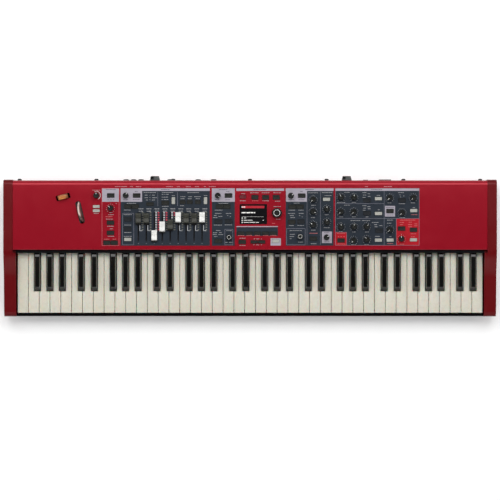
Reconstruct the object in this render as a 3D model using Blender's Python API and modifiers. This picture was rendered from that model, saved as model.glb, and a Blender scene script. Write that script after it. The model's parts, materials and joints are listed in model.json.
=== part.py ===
"""Stage keyboard: 73 square-front keys, a folded steel control panel and moulded end cheeks.

Sizes are in metres. X runs to the player's right, Y to the rear and Z up. The origin is on the table,
under the middle of the whole object. Depths are distances behind the front edge of the case.
"""

import math

import bmesh
import bpy
from mathutils import Matrix, Vector

# Clearances
CLEARANCE = 0.0003
SLIDE_CLEARANCE = 0.0005

# Keys
WHITE_COUNT = 43
WHITE_PITCH = 0.0235
KEY_GAP = 0.001
KEY_FRONT = 0.008
KEY_TOP = 0.058
KEY_FACE_HEIGHT = 0.020
KEY_SKIN = 0.012
KEY_LIP = 0.004
KEY_EDGE_RADIUS = 0.0015
KEY_DIP = 0.010
KEY_LEVER = 0.180
BLACK_WIDTH = 0.0137
BLACK_CAP_TOP_WIDTH = 0.0092
BLACK_SETBACK = 0.0475
BLACK_LENGTH = 0.0815
BLACK_RISE = 0.012
BLACK_FRONT_SLOPE = 0.0085
BLACK_REAR_SLOPE = 0.0065
BLACK_REAR_DROP = 0.0035
BLACK_CAP_INSET = 0.0001
BLACK_CAP_SINK = 0.001
BLACK_OFFSETS = {"F": -0.0035, "G": 0.0, "A": 0.0035, "C": -0.0025, "D": 0.0025}
LETTERS = "EFGABCD"
SECTION_WHITES = {"low": 14, "middle": 14, "high": 15}
WHITE_TAIL_HEIGHT = 0.011
BLACK_TAIL_HEIGHT = 0.006
TAIL_SPACING = 0.003
TAIL_STEP_AHEAD = 0.038
TAIL_STEP_RUN = 0.012
BAR_AHEAD = 0.020
WHITE_BAR_BEHIND = 0.005
BLACK_BAR_BEHIND = 0.010
ACTUATOR_AHEAD = 0.017
ACTUATOR_WIDTH = 0.006
ACTUATOR_DROP = 0.004

# Case
CHEEK_THICKNESS = 0.026
CHEEK_REBATE = 0.006
CHEEK_GAP = 0.00275
CHEEK_RISE = 0.001
CHEEK_NOSE_TOP = 0.0625
CHEEK_MID_TOP = 0.068
CHEEK_EDGE = 0.0055
CHEEK_OVERHANG = 0.0015
VISIBLE_KEY = 0.137
PANEL_DEPTH = 0.1505
PANEL_TOP = 0.083
PANEL_SHEET = 0.0015
PANEL_LIP = 0.0085
PANEL_FRONT_BEND = 0.002
PANEL_REAR_BEND = 0.010
LIP_RELIEF = 0.007
FOOT_HEIGHT = 0.008
FOOT_RADIUS = 0.010
FOOT_INSET_X = 0.075
FOOT_INSET_Y = 0.035
PAN_SHEET = 0.0012
SLIP_HEIGHT = 0.036
SLIP_HEM = 0.008
SLIP_FRONT = 0.0004
SLIP_BEND = 0.002
PAN_FLANGE = 0.028
BEND_STEPS = 6

# Keybed frame, pressed from sheet
FRAME_SHEET = 0.002
FRAME_MARGIN = 0.003
FRONT_RAIL_DEPTH = 0.0145
FRONT_RAIL_WIDTH = 0.020
BLACK_RAIL_DEPTH = 0.0625
BLACK_RAIL_WIDTH = 0.012
RAIL_STOP_GAP = 0.0003
BOARD_RAIL_WIDTH = 0.040
BOARD_RAIL_HEIGHT = 0.020
PIVOT_RAIL_WIDTH = 0.006
REAR_WALL_BEHIND = 0.0065
CONTACT_BOARD = 0.0016
CONTACT_STRIP_WIDTH = 0.010
CONTACT_STRIP_HEIGHT = 0.0055

# Controls: knobs turn on shafts, faders slide in channels, buttons push on moulded mats
SHAFT_RADIUS = 0.003
SHAFT_INSIDE_KNOB = 0.008
POT_RADIUS = 0.0055
POT_HEIGHT = 0.007
KNOB_RADIUS = 0.0064
KNOB_HEIGHT = 0.0137
KNOB_TAPER = 0.0004
KNOB_EDGE = 0.0008
KNOB_STEPS = 10
DIAL_RADIUS = 0.0108
BOARD_SHEET = 0.0016
BOARD_DROP = 0.0134
BOARD_POST_RADIUS = 0.003
BOARD_MARGIN = 0.0042
FADER_COUNT = 9
FADER_PITCH = 0.01723
FADER_FIRST_X = -0.2417
FADER_TRAVEL = 0.040
FADER_TOP_STOP = 0.0805
FADER_SETTINGS = (0.002, 0.002, 0.0392, 0.0199, 0.0154, 0.0, 0.002, 0.002, 0.0)
FADER_CAP_WIDTH = 0.0122
FADER_CAP_LENGTH = 0.0225
FADER_CAP_HEIGHT = 0.0102
FADER_CAP_WAIST = 0.0035
FADER_CAP_SKIRT = 0.003
FADER_BLADE = 0.0016
FADER_BLADE_LENGTH = 0.006
FADER_BLADE_DEPTH = 0.011
FADER_SLOT = 0.003
SLIDE_POT_WIDTH = 0.008
SLIDE_POT_LENGTH = 0.068
SLIDE_POT_FLOOR = 0.0015
MAT_SHEET = 0.0015
BUTTON_RISE = 0.002
BUTTON_GAP = 0.0003
SHAFT_HOLE_GAP = 0.001

# Knob places: right of the panel's middle, then forward of its rear edge
KNOB_PLACES = {
    "master_level_knob": (-0.3328, 0.0327),
    "transpose_knob": (-0.3019, 0.0604),
    "organ_level_knob": (-0.2692, 0.0331),
    "piano_level_knob": (-0.0699, 0.0333),
    "piano_type_dial": (-0.0454, 0.1236),
    "program_dial": (0.0578, 0.0708),
    "synth_level_knob": (0.0883, 0.0335),
    "synth_type_dial": (0.1084, 0.1218),
    "synth_attack_knob": (0.1364, 0.0418),
    "synth_decay_knob": (0.1364, 0.0682),
    "synth_release_knob": (0.1364, 0.0965),
    "synth_vibrato_knob": (0.166, 0.0625),
    "synth_timbre_knob": (0.166, 0.0905),
    "synth_filter_knob": (0.1653, 0.1236),
    "tremolo_rate_knob": (0.1967, 0.0372),
    "tremolo_depth_knob": (0.2248, 0.0372),
    "chorus_rate_knob": (0.1964, 0.0684),
    "chorus_depth_knob": (0.2244, 0.0684),
    "amp_drive_knob": (0.1966, 0.1008),
    "bass_knob": (0.2248, 0.1008),
    "middle_knob": (0.2524, 0.1002),
    "treble_knob": (0.2236, 0.1301),
    "presence_knob": (0.2524, 0.1281),
    "delay_time_knob": (0.3021, 0.0379),
    "delay_level_knob": (0.3532, 0.0379),
    "delay_feedback_knob": (0.3287, 0.0703),
    "reverb_level_knob": (0.3023, 0.1071),
    "speaker_speed_knob": (0.3275, 0.1268),
}

# Button places: right of the middle, forward of the rear edge, then width and length
PAD = (0.0158, 0.0091)
HALF_PAD = (0.0152, 0.0095)
SMALL_PAD = (0.0152, 0.007)
TALL_PAD = (0.0072, 0.015)
NARROW_PAD = (0.0122, 0.008)
BUTTON_PLACES = {
    "organ_buttons": (
        (-0.3328, 0.057, 0.0146, 0.0062),
        (-0.3328, 0.066, 0.0146, 0.0062),
        (-0.3014, 0.0331, *PAD),
        (-0.3021, 0.0918, *PAD),
        (-0.3021, 0.1138, *PAD),
        (-0.3099, 0.1352, *HALF_PAD),
        (-0.2938, 0.1352, *HALF_PAD),
        (-0.2454, 0.0331, *PAD),
        (-0.2647, 0.0569, *HALF_PAD),
        (-0.2486, 0.0569, *HALF_PAD),
        (-0.2649, 0.0842, *PAD),
        (-0.2649, 0.1052, *PAD),
        (-0.2647, 0.1281, *SMALL_PAD),
        (-0.2166, 0.0515, *SMALL_PAD),
        (-0.1835, 0.0491, *PAD),
        (-0.166, 0.0441, *TALL_PAD),
        (-0.1459, 0.0474, *NARROW_PAD),
        (-0.1305, 0.0474, *NARROW_PAD),
        (-0.1127, 0.0474, *NARROW_PAD),
        (-0.0965, 0.0441, *TALL_PAD),
    ),
    "piano_program_buttons": (
        (-0.0467, 0.0331, *PAD),
        (-0.0663, 0.0569, *HALF_PAD),
        (-0.0504, 0.0569, *HALF_PAD),
        (-0.0684, 0.0896, *PAD),
        (-0.0463, 0.0887, *PAD),
        (-0.0688, 0.1314, *PAD),
        (-0.0158, 0.0357, 0.0134, 0.008),
        (0.0104, 0.037, 0.0147, 0.0099),
        (0.0335, 0.037, 0.0147, 0.0099),
        (0.0565, 0.037, 0.0147, 0.0099),
        (-0.0201, 0.1147, *SMALL_PAD),
        (-0.0022, 0.1147, *SMALL_PAD),
        (0.0156, 0.1147, *SMALL_PAD),
        (0.0331, 0.1147, *SMALL_PAD),
        (0.0504, 0.1147, *SMALL_PAD),
        (-0.0171, 0.1335, *PAD),
        (0.0086, 0.1335, *SMALL_PAD),
        (0.0248, 0.1335, *SMALL_PAD),
        (0.0556, 0.1318, *SMALL_PAD),
    ),
    "synth_effects_buttons": (
        (0.1117, 0.0335, *PAD),
        (0.0912, 0.0573, *PAD),
        (0.1079, 0.0573, *PAD),
        (0.09, 0.0905, *PAD),
        (0.1099, 0.0896, *PAD),
        (0.1368, 0.1266, *PAD),
        (0.1653, 0.0413, *SMALL_PAD),
        (0.2528, 0.0435, *PAD),
        (0.2528, 0.0714, *PAD),
        (0.2776, 0.04, *SMALL_PAD),
        (0.2776, 0.0721, *SMALL_PAD),
        (0.3287, 0.0435, *PAD),
        (0.3027, 0.0667, *PAD),
        (0.354, 0.0658, *SMALL_PAD),
        (0.1967, 0.1303, *PAD),
        (0.2789, 0.1091, *PAD),
        (0.2776, 0.1296, *SMALL_PAD),
        (0.3029, 0.1296, *SMALL_PAD),
        (0.3278, 0.1045, *PAD),
        (0.3534, 0.1073, *PAD),
        (0.3534, 0.129, *SMALL_PAD),
    ),
}
MATS_KNOBS = {
    "organ_buttons": ("master", "transpose", "organ"),
    "piano_program_buttons": ("piano", "program"),
    "synth_effects_buttons": (
        "synth", "tremolo", "chorus", "amp", "bass", "middle", "treble", "presence", "delay", "reverb",
        "speaker",
    ),
}
BOARD_POSTS = ((-0.344, 0.14), (-0.344, 0.024), (-0.088, 0.06), (-0.088, 0.143), (0.181, 0.024), (0.181, 0.143),
               (0.368, 0.024), (0.368, 0.143))

# Display
DISPLAY_WIDTH = 0.059
DISPLAY_LENGTH = 0.043
DISPLAY_X = 0.0069
DISPLAY_BACK = 0.0735
DISPLAY_BORDER = 0.0025

# Pitch stick and modulation wheel
STICK_INSET = 0.10065
STICK_BACK = 0.0361
STICK_TURN = 15.0
STICK_WIDTH = 0.0245
STICK_THICKNESS = 0.0095
STICK_TOP = 0.094
STICK_AXIS_DROP = 0.023
STICK_SHANK = 0.012
STICK_SLOT = 0.031
STICK_SLOT_GAP = 0.0009
WHEEL_INSET = 0.13735
WHEEL_KEY_GAP = 0.00287
WHEEL_TURN = 13.3
WHEEL_LEAN = 20.0
WHEEL_RADIUS = 0.0265
WHEEL_THICKNESS = 0.006
WHEEL_CHORD = 0.040
WHEEL_SLOT = 0.050
WHEEL_SLOT_WIDTH = 0.012
WHEEL_STEPS = 24
PIN_RADIUS = 0.002
ARM_THICKNESS = 0.003
ARM_WIDTH = 0.014
BRACKET_SHEET = 0.0018

# Rear sockets: places right of the middle, and one height for all
SOCKET_HEIGHT = 0.034
JACK_PLACES = (-0.2703, -0.254, -0.2376, -0.1744, -0.1132, -0.0795)
MIDI_PLACES = (-0.1554, -0.1342)
USB_PLACE = -0.0966
JACK_BODY_RADIUS = 0.0065
JACK_RADIUS = 0.0046
JACK_BORE = 0.00335
JACK_REACH = 0.0033
JACK_BORE_DEPTH = 0.028
MIDI_BODY_RADIUS = 0.0084
MIDI_RADIUS = 0.0072
MIDI_BORE = 0.006
MIDI_REACH = 0.001
MIDI_BORE_DEPTH = 0.009
USB_SIZE = 0.0118
USB_BORE = 0.0084
USB_BORE_DEPTH = 0.011
SOCKET_BOARD_DEPTH = 0.033
SOCKET_BOARD_TOP = 0.050
SOCKET_BOARD_MARGIN = 0.011

# Mains inlet and switch on the power supply
SUPPLY_X = 0.2745
SUPPLY_WIDTH = 0.082
SUPPLY_LENGTH = 0.062
SUPPLY_HEIGHT = 0.047
SUPPLY_SETBACK = 0.010
INLET_SHIFT = 0.0194
INLET_WIDTH = 0.0265
INLET_HEIGHT = 0.0195
INLET_WALL = 0.0022
INLET_REACH = 0.0025
INLET_BORE_DEPTH = 0.016
INLET_PIN = 0.004
INLET_PIN_SHEET = 0.002
INLET_PIN_LENGTH = 0.010
INLET_PIN_PITCH = 0.007
SWITCH_SHIFT = -0.023
SWITCH_WIDTH = 0.0145
SWITCH_HEIGHT = 0.0205
SWITCH_WALL = 0.0016
SWITCH_REACH = 0.0006
SWITCH_DEPTH = 0.009
ROCKER_ANGLE = 8.0
ROCKER_REACH = 0.0042
ROCKER_SINK = 0.00378
ROCKER_SLOPE = 0.0006
ROCKER_DENT = 0.0016

# Brackets for a music stand
BRACKET_REACH = 0.008
BRACKET_PLACES = (-0.2064, 0.2095)
BRACKET_WIDTH = 0.022
BRACKET_TAPER = 0.003
BRACKET_HEIGHT = 0.013
BRACKET_TOP = 0.072
BRACKET_HOLE = 0.00325
BRACKET_HOLE_DEPTH = 0.0095
BRACKET_HOLE_SHIFT = -0.0055

# Worked out from the sizes above
INLET_X = SUPPLY_X + INLET_SHIFT
SWITCH_X = SUPPLY_X + SWITCH_SHIFT
KEYS_WIDTH = WHITE_COUNT * WHITE_PITCH
INSIDE_WIDTH = KEYS_WIDTH + 2 * CHEEK_GAP
BODY_WIDTH = INSIDE_WIDTH + 2 * CHEEK_THICKNESS
STICK_X = STICK_INSET - KEYS_WIDTH / 2
WHEEL_X = WHEEL_INSET - KEYS_WIDTH / 2
PANEL_FRONT = KEY_FRONT + VISIBLE_KEY
PANEL_REAR = PANEL_FRONT + PANEL_DEPTH
BODY_DEPTH = PANEL_REAR + CHEEK_OVERHANG
PANEL_WIDTH = INSIDE_WIDTH + 2 * (CHEEK_REBATE - CLEARANCE)
PANEL_UNDER = PANEL_TOP - PANEL_SHEET
PIVOT_DEPTH = KEY_FRONT + KEY_LEVER
TAIL_STEP = PIVOT_DEPTH - TAIL_STEP_AHEAD
ACTUATOR_DEPTH = TAIL_STEP - TAIL_STEP_RUN - ACTUATOR_AHEAD
BOARD_RAIL_DEPTH = ACTUATOR_DEPTH - BOARD_RAIL_WIDTH / 2
DIP_SINE = KEY_DIP / KEY_LEVER
KEY_BOTTOM = KEY_TOP - KEY_FACE_HEIGHT
KEY_UNDER = KEY_TOP - KEY_SKIN
WHITE_TAIL_TOP = KEY_BOTTOM + WHITE_TAIL_HEIGHT
BLACK_TAIL_UNDER = WHITE_TAIL_TOP + TAIL_SPACING
BLACK_TAIL_TOP = BLACK_TAIL_UNDER + BLACK_TAIL_HEIGHT
PIVOT_HEIGHT = (WHITE_TAIL_TOP + BLACK_TAIL_UNDER) / 2
BLACK_FRONT = KEY_FRONT + BLACK_SETBACK
PAN_TOP = FOOT_HEIGHT + PAN_SHEET
PAN_WIDTH = INSIDE_WIDTH - 2 * CLEARANCE
PAN_REAR = PANEL_REAR - PANEL_SHEET - CLEARANCE
FRAME_BOTTOM = PAN_TOP + CLEARANCE
BOARD_TOP = PANEL_UNDER - BOARD_DROP + BOARD_SHEET
MAT_TOP = PANEL_UNDER - CLEARANCE
POT_TOP = BOARD_TOP + POT_HEIGHT
KNOB_BOTTOM = PANEL_TOP + CLEARANCE
KNOB_TOP = KNOB_BOTTOM + KNOB_HEIGHT

# Colours
RED = (0.30, 0.008, 0.018)
DARK_RED = (0.19, 0.004, 0.010)
BLACK = (0.012, 0.012, 0.013)
IVORY = (0.74, 0.70, 0.60)
STEEL = (0.42, 0.42, 0.43)
BOARD_GREEN = (0.02, 0.16, 0.07)
WOOD = (0.55, 0.28, 0.12)
STONE = (0.62, 0.58, 0.55)
WHITE = (0.80, 0.80, 0.78)


def depth(distance):
    """The Y of a place this far behind the front edge of the case."""
    return distance - (BODY_DEPTH + BRACKET_REACH) / 2


def panel_place(x, back):
    """X and Y of a place on the panel, from its middle and its rear edge."""
    return x, depth(PANEL_REAR - back)


def empty_scene():
    for old in list(bpy.data.objects):
        bpy.data.objects.remove(old, do_unlink=True)


def make_collection(name):
    collection = bpy.data.collections.new(name)
    bpy.context.scene.collection.children.link(collection)
    return collection


def material(name, colour, roughness, metallic=0.0):
    made = bpy.data.materials.new(name)
    made.use_nodes = True
    shader = made.node_tree.nodes["Principled BSDF"]
    shader.inputs["Base Color"].default_value = (*colour, 1.0)
    shader.inputs["Roughness"].default_value = roughness
    shader.inputs["Metallic"].default_value = metallic
    made.diffuse_color = (*colour, 1.0)
    return made


def add_object(name, mesh, collection):
    made = bpy.data.objects.new(name, mesh)
    collection.objects.link(made)
    return made


def part(name, mesh, surface):
    """A named piece of the keyboard, in its own material."""
    made = add_object(name, mesh, PARTS)
    made.data.materials.clear()
    made.data.materials.append(surface)
    return made


def cutter(name, mesh):
    """A guide solid for a Boolean, kept out of the model."""
    made = add_object(name, mesh, CUTTERS)
    made.hide_render = True
    made.display_type = "WIRE"
    return made


def shape(target, operation, mesh):
    """Cuts, joins or trims a piece with another solid."""
    tool = cutter(f"{target.name}_{operation.lower()}_{len(target.modifiers)}", mesh)
    modifier = target.modifiers.new(operation.title(), "BOOLEAN")
    modifier.operation = operation
    modifier.solver = "EXACT"
    modifier.object = tool


def arc(across, up, radius, start, end, steps=BEND_STEPS):
    """Points of an arc in a flat outline, angles in degrees from the first axis."""
    points = []
    for index in range(steps + 1):
        angle = math.radians(start + (end - start) * index / steps)
        points.append((across + radius * math.cos(angle), up + radius * math.sin(angle)))
    return points


def plate(outline, low, high, along="Z"):
    """A flat outline extruded from low to high along Z, or along X with the outline in Y and Z."""
    curve = bpy.data.curves.new("outline", "CURVE")
    curve.dimensions = "2D"
    curve.fill_mode = "BOTH"
    curve.extrude = (high - low) / 2
    spline = curve.splines.new("POLY")
    spline.points.add(len(outline) - 1)
    for point, (first, second) in zip(spline.points, outline):
        point.co = (first, second, 0.0, 1.0)
    spline.use_cyclic_u = True
    guide = add_object("outline", curve, CUTTERS)
    graph = bpy.context.evaluated_depsgraph_get()
    mesh = bpy.data.meshes.new_from_object(guide.evaluated_get(graph))
    bpy.data.objects.remove(guide)
    bpy.data.curves.remove(curve)
    turn = Matrix.Identity(4)
    if along == "X":
        turn = Matrix(((0, 0, 1, 0), (1, 0, 0, 0), (0, 1, 0, 0), (0, 0, 0, 1)))
    mesh.transform(turn @ Matrix.Translation((0, 0, (low + high) / 2)))
    work = bmesh.new()
    work.from_mesh(mesh)
    bmesh.ops.remove_doubles(work, verts=work.verts, dist=0.000001)
    bmesh.ops.dissolve_limit(work, angle_limit=0.001, verts=work.verts, edges=work.edges)
    bmesh.ops.recalc_face_normals(work, faces=work.faces)
    work.to_mesh(mesh)
    work.free()
    return mesh


def side_plate(outline, low, high):
    """An outline of depths and heights, extruded along X."""
    return plate([(depth(back), up) for back, up in outline], low, high, "X")


def box(low, high):
    """A box between two corners."""
    work = bmesh.new()
    bmesh.ops.create_cube(work, size=1.0)
    size = [b - a for a, b in zip(low, high)]
    middle = [(a + b) / 2 for a, b in zip(low, high)]
    bmesh.ops.scale(work, vec=size, verts=work.verts)
    bmesh.ops.translate(work, vec=middle, verts=work.verts)
    mesh = bpy.data.meshes.new("box")
    work.to_mesh(mesh)
    work.free()
    return mesh


def turned(profile, steps):
    """A solid of revolution about Z from radii and heights, listed from the top down the outer side."""
    work = bmesh.new()
    corners = [work.verts.new((radius, 0.0, up)) for radius, up in profile]
    for first, second in zip(corners, corners[1:]):
        work.edges.new((first, second))
    mesh = bpy.data.meshes.new("profile")
    work.to_mesh(mesh)
    work.free()
    guide = add_object("profile", mesh, CUTTERS)
    screw = guide.modifiers.new("Screw", "SCREW")
    screw.angle = math.tau
    screw.steps = steps
    screw.render_steps = steps
    screw.use_merge_vertices = True
    screw.merge_threshold = 0.00001
    graph = bpy.context.evaluated_depsgraph_get()
    solid = bpy.data.meshes.new_from_object(guide.evaluated_get(graph))
    bpy.data.objects.remove(guide)
    bpy.data.meshes.remove(mesh)
    work = bmesh.new()
    work.from_mesh(solid)
    bmesh.ops.remove_doubles(work, verts=work.verts, dist=0.000001)
    bmesh.ops.recalc_face_normals(work, faces=work.faces)
    work.to_mesh(solid)
    work.free()
    solid.shade_smooth()
    solid.set_sharp_from_angle(angle=math.radians(35))
    return solid


def moved(mesh, matrix):
    mesh.transform(matrix)
    return mesh


def joined(meshes):
    """Several separate solids in one mesh, for one Boolean."""
    work = bmesh.new()
    for mesh in meshes:
        work.from_mesh(mesh)
        bpy.data.meshes.remove(mesh)
    mesh = bpy.data.meshes.new("group")
    work.to_mesh(mesh)
    work.free()
    return mesh


def give_origin(target, point):
    """Moves a piece's origin to its joint, with the piece where it was."""
    target.data.transform(Matrix.Translation(-Vector(point)))
    target.location = point


def place(x, y, z):
    return Matrix.Translation((x, y, z))


def along_rear(x, z):
    """Stands a turned solid on its side, pointing out of the rear of the case."""
    return place(x, depth(PANEL_REAR), z) @ Matrix.Rotation(math.radians(-90), 4, "X")


# Keys

def white_edges(index):
    left = index * WHITE_PITCH - KEYS_WIDTH / 2
    return left, left + WHITE_PITCH


def black_after(index):
    """The middle of the black key to the right of a white key, or None."""
    letter = LETTERS[index % len(LETTERS)]
    if letter not in BLACK_OFFSETS or not 0 <= index < WHITE_COUNT - 1:
        return None
    return white_edges(index)[1] + BLACK_OFFSETS[letter]


def section_range(section):
    first = 0
    for name, count in SECTION_WHITES.items():
        if name == section:
            return range(first, first + count)
        first += count
    raise ValueError(section)


def white_plan(indexes):
    """The outline of a comb of white keys: notched keys joined by a bar at the rear."""
    notch = depth(BLACK_FRONT - KEY_GAP)
    front = depth(KEY_FRONT - KEY_LIP)
    bar = depth(PIVOT_DEPTH - BAR_AHEAD)
    reach = BLACK_WIDTH / 2 + KEY_GAP
    outline = []
    for index in indexes:
        left, right = white_edges(index)
        left += KEY_GAP / 2
        right -= KEY_GAP / 2
        before = black_after(index - 1)
        after = black_after(index)
        tail_left = before + reach if before is not None else left
        tail_right = after - reach if after is not None else right
        outline.append((tail_left, bar))
        if before is not None:
            outline += [(tail_left, notch), (left, notch)]
        outline += [(left, front), (right, front)]
        if after is not None:
            outline += [(right, notch), (tail_right, notch)]
        outline.append((tail_right, bar))
    rear = depth(PIVOT_DEPTH + WHITE_BAR_BEHIND + KEY_LIP)
    outline += [(outline[-1][0], rear), (outline[0][0], rear)]
    return outline


def black_plan(middles):
    """The outline of a comb of black keys: straight keys joined by a bar at the rear."""
    front = depth(BLACK_FRONT - KEY_LIP)
    bar = depth(PIVOT_DEPTH - BAR_AHEAD)
    outline = []
    for middle in middles:
        left = middle - BLACK_WIDTH / 2
        right = middle + BLACK_WIDTH / 2
        outline += [(left, bar), (left, front), (right, front), (right, bar)]
    rear = depth(PIVOT_DEPTH + BLACK_BAR_BEHIND + KEY_LIP)
    outline += [(outline[-1][0], rear), (outline[0][0], rear)]
    return outline


def actuator_outline():
    """The foot under each key that presses its contact, from rear to front."""
    rear = ACTUATOR_DEPTH + ACTUATOR_WIDTH / 2
    front = ACTUATOR_DEPTH - ACTUATOR_WIDTH / 2
    low = KEY_UNDER - ACTUATOR_DROP
    return [(rear, KEY_UNDER), (rear, low), (front, low), (front, KEY_UNDER)]


def white_side():
    """The side view of a white key: square front, rounded top edge, stepped tail."""
    bar = PIVOT_DEPTH - BAR_AHEAD
    rear = PIVOT_DEPTH + WHITE_BAR_BEHIND
    edge = KEY_EDGE_RADIUS
    outline = [(KEY_FRONT, KEY_BOTTOM)]
    outline += arc(KEY_FRONT + edge, KEY_TOP - edge, edge, 180, 90, 2)
    outline += [
        (TAIL_STEP, KEY_TOP),
        (TAIL_STEP + TAIL_STEP_RUN, WHITE_TAIL_TOP),
        (rear, WHITE_TAIL_TOP),
        (rear, KEY_BOTTOM),
        (bar, KEY_BOTTOM),
        (TAIL_STEP - TAIL_STEP_RUN, KEY_UNDER),
    ]
    outline += actuator_outline()
    outline += [(KEY_FRONT + KEY_LIP, KEY_UNDER), (KEY_FRONT + KEY_LIP, KEY_BOTTOM)]
    return outline


def black_side():
    """The side view of a black key's body and tail, under its cap."""
    rear = PIVOT_DEPTH + BLACK_BAR_BEHIND
    outline = [
        (BLACK_FRONT, KEY_UNDER),
        (BLACK_FRONT, BLACK_TAIL_TOP),
        (rear, BLACK_TAIL_TOP),
        (rear, BLACK_TAIL_UNDER),
        (PIVOT_DEPTH - BAR_AHEAD - KEY_LIP, BLACK_TAIL_UNDER),
        (TAIL_STEP, KEY_UNDER),
    ]
    return outline + actuator_outline()


def black_cap(middle):
    """The raised part of a black key: narrower at its top, steep at the front, easing down at the rear."""
    front = BLACK_FRONT + BLACK_CAP_INSET
    rear = front + BLACK_LENGTH
    foot = BLACK_TAIL_TOP - BLACK_CAP_SINK
    top = KEY_TOP + BLACK_RISE
    edge = KEY_EDGE_RADIUS / 2
    outline = [
        (front, foot),
        (front, BLACK_TAIL_TOP),
        (front + BLACK_FRONT_SLOPE - edge, top - edge),
        (front + BLACK_FRONT_SLOPE, top),
        (rear - BLACK_REAR_SLOPE, top),
        (rear, top - BLACK_REAR_DROP),
        (rear, foot),
    ]
    mesh = side_plate(outline, -1, 1)
    for vertex in mesh.vertices:
        rise = max(vertex.co.z - BLACK_TAIL_TOP, 0.0) / BLACK_RISE
        base = BLACK_WIDTH / 2 - BLACK_CAP_INSET
        half = base + (BLACK_CAP_TOP_WIDTH / 2 - base) * rise
        vertex.co.x = middle + math.copysign(half, vertex.co.x)
    return mesh


def make_keys():
    """Three combs of white keys and three of black keys, each hinged on the pivot line."""
    ivory = material("key_ivory", IVORY, 0.25)
    ebony = material("key_black", BLACK, 0.2)
    pivot = (0.0, depth(PIVOT_DEPTH), PIVOT_HEIGHT)
    half = KEYS_WIDTH / 2
    for section in SECTION_WHITES:
        indexes = section_range(section)
        whites = part(
            f"white_keys_{section}", plate(white_plan(indexes), KEY_BOTTOM - KEY_LIP, KEY_TOP + KEY_LIP), ivory
        )
        shape(whites, "INTERSECT", side_plate(white_side(), -half, half))
        give_origin(whites, pivot)
        middles = [black_after(index) for index in indexes if black_after(index) is not None]
        blacks = part(
            f"black_keys_{section}", plate(black_plan(middles), KEY_BOTTOM, KEY_TOP + KEY_LIP), ebony
        )
        shape(blacks, "INTERSECT", side_plate(black_side(), -half, half))
        shape(blacks, "UNION", joined([black_cap(middle) for middle in middles]))
        give_origin(blacks, pivot)


# Case

def panel_path(inset):
    """The panel's folded line in depth and height, this far inside its outer face."""
    front = PANEL_FRONT
    rear = PANEL_REAR
    lip = PANEL_TOP - PANEL_LIP
    small = PANEL_FRONT_BEND
    large = PANEL_REAR_BEND
    path = [(front + inset, lip)]
    path += arc(front + small, PANEL_TOP - small, max(small - inset, CLEARANCE), 180, 90, 3)
    path += arc(rear - large, PANEL_TOP - large, large - inset, 90, 0)
    return path + [(rear - inset, FOOT_HEIGHT + CLEARANCE)]


def cheek_path():
    """The side view of an end cheek: level beside the panel, falling in a slow curve to a round nose."""
    high = PANEL_TOP + CHEEK_RISE
    nose = 0.012
    outline = [(PAN_SHEET, FOOT_HEIGHT), (0.0, FOOT_HEIGHT + PAN_SHEET)]
    outline += [(0.0, CHEEK_NOSE_TOP - nose)]
    outline += arc(nose, CHEEK_NOSE_TOP - nose, nose, 165, 90, 4)
    middle = (PANEL_FRONT + nose) / 2
    outline.append((middle, CHEEK_MID_TOP))
    start = PANEL_FRONT
    run = start - middle
    steps = 6
    for index in range(1, steps + 1):
        share = index / steps
        ease = share * share * (3 - 2 * share)
        outline.append((middle + run * share, CHEEK_MID_TOP + (high - CHEEK_MID_TOP) * ease))
    bend = PANEL_REAR_BEND + CHEEK_RISE
    outline += arc(BODY_DEPTH - bend, high - bend, bend, 90, 0)
    outline += [(BODY_DEPTH, FOOT_HEIGHT + PAN_SHEET), (BODY_DEPTH - PAN_SHEET, FOOT_HEIGHT)]
    return outline


def panel_room():
    """The side view of the space that the panel takes out of a cheek's inner part."""
    far = BODY_DEPTH + CHEEK_THICKNESS
    inside = panel_path(PANEL_SHEET + CLEARANCE)
    front = PANEL_FRONT - LIP_RELIEF
    floor = PANEL_TOP - PANEL_LIP - CLEARANCE
    outline = [(front, PANEL_TOP + CHEEK_THICKNESS), (front, floor), (inside[0][0], floor)]
    outline += inside[1:-1]
    return outline + [(inside[-1][0], 0.0), (far, 0.0), (far, PANEL_TOP + CHEEK_THICKNESS)]


def make_cheek(name, side):
    """One end cheek, rounded on its outer side and rebated for the panel."""
    inner = INSIDE_WIDTH / 2
    mesh = side_plate(cheek_path(), inner, inner + CHEEK_THICKNESS)
    work = bmesh.new()
    work.from_mesh(mesh)
    outer = inner + CHEEK_THICKNESS - CLEARANCE
    rim = [edge for edge in work.edges if all(v.co.x > outer for v in edge.verts)]
    bmesh.ops.bevel(work, geom=rim, offset=CHEEK_EDGE, segments=3, affect="EDGES", clamp_overlap=True)
    work.to_mesh(mesh)
    work.free()
    room = side_plate(panel_room(), inner - CHEEK_THICKNESS, inner + CHEEK_REBATE)
    if side < 0:
        for flipped in (mesh, room):
            flipped.transform(Matrix.Scale(-1, 4, (1, 0, 0)))
            flipped.flip_normals()
    cheek = part(name, mesh, material(name, DARK_RED, 0.35))
    shape(cheek, "DIFFERENCE", room)
    return cheek


def pan_path(inset):
    """The pan's folded line: a hollow slip in front of the keys, then the floor of the case."""
    rear_wall = KEY_FRONT - KEY_GAP
    top = FOOT_HEIGHT + SLIP_HEIGHT
    bend = SLIP_BEND
    radius = bend - inset
    path = [(rear_wall - inset, top - SLIP_HEM)]
    path += arc(rear_wall - bend, top - bend, radius, 0, 90, 2)
    path += arc(SLIP_FRONT + bend, top - bend, radius, 90, 180, 2)
    path += arc(SLIP_FRONT + bend, FOOT_HEIGHT + bend, radius, 180, 270, 2)
    return path + [(PAN_REAR, FOOT_HEIGHT + inset)]


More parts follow.
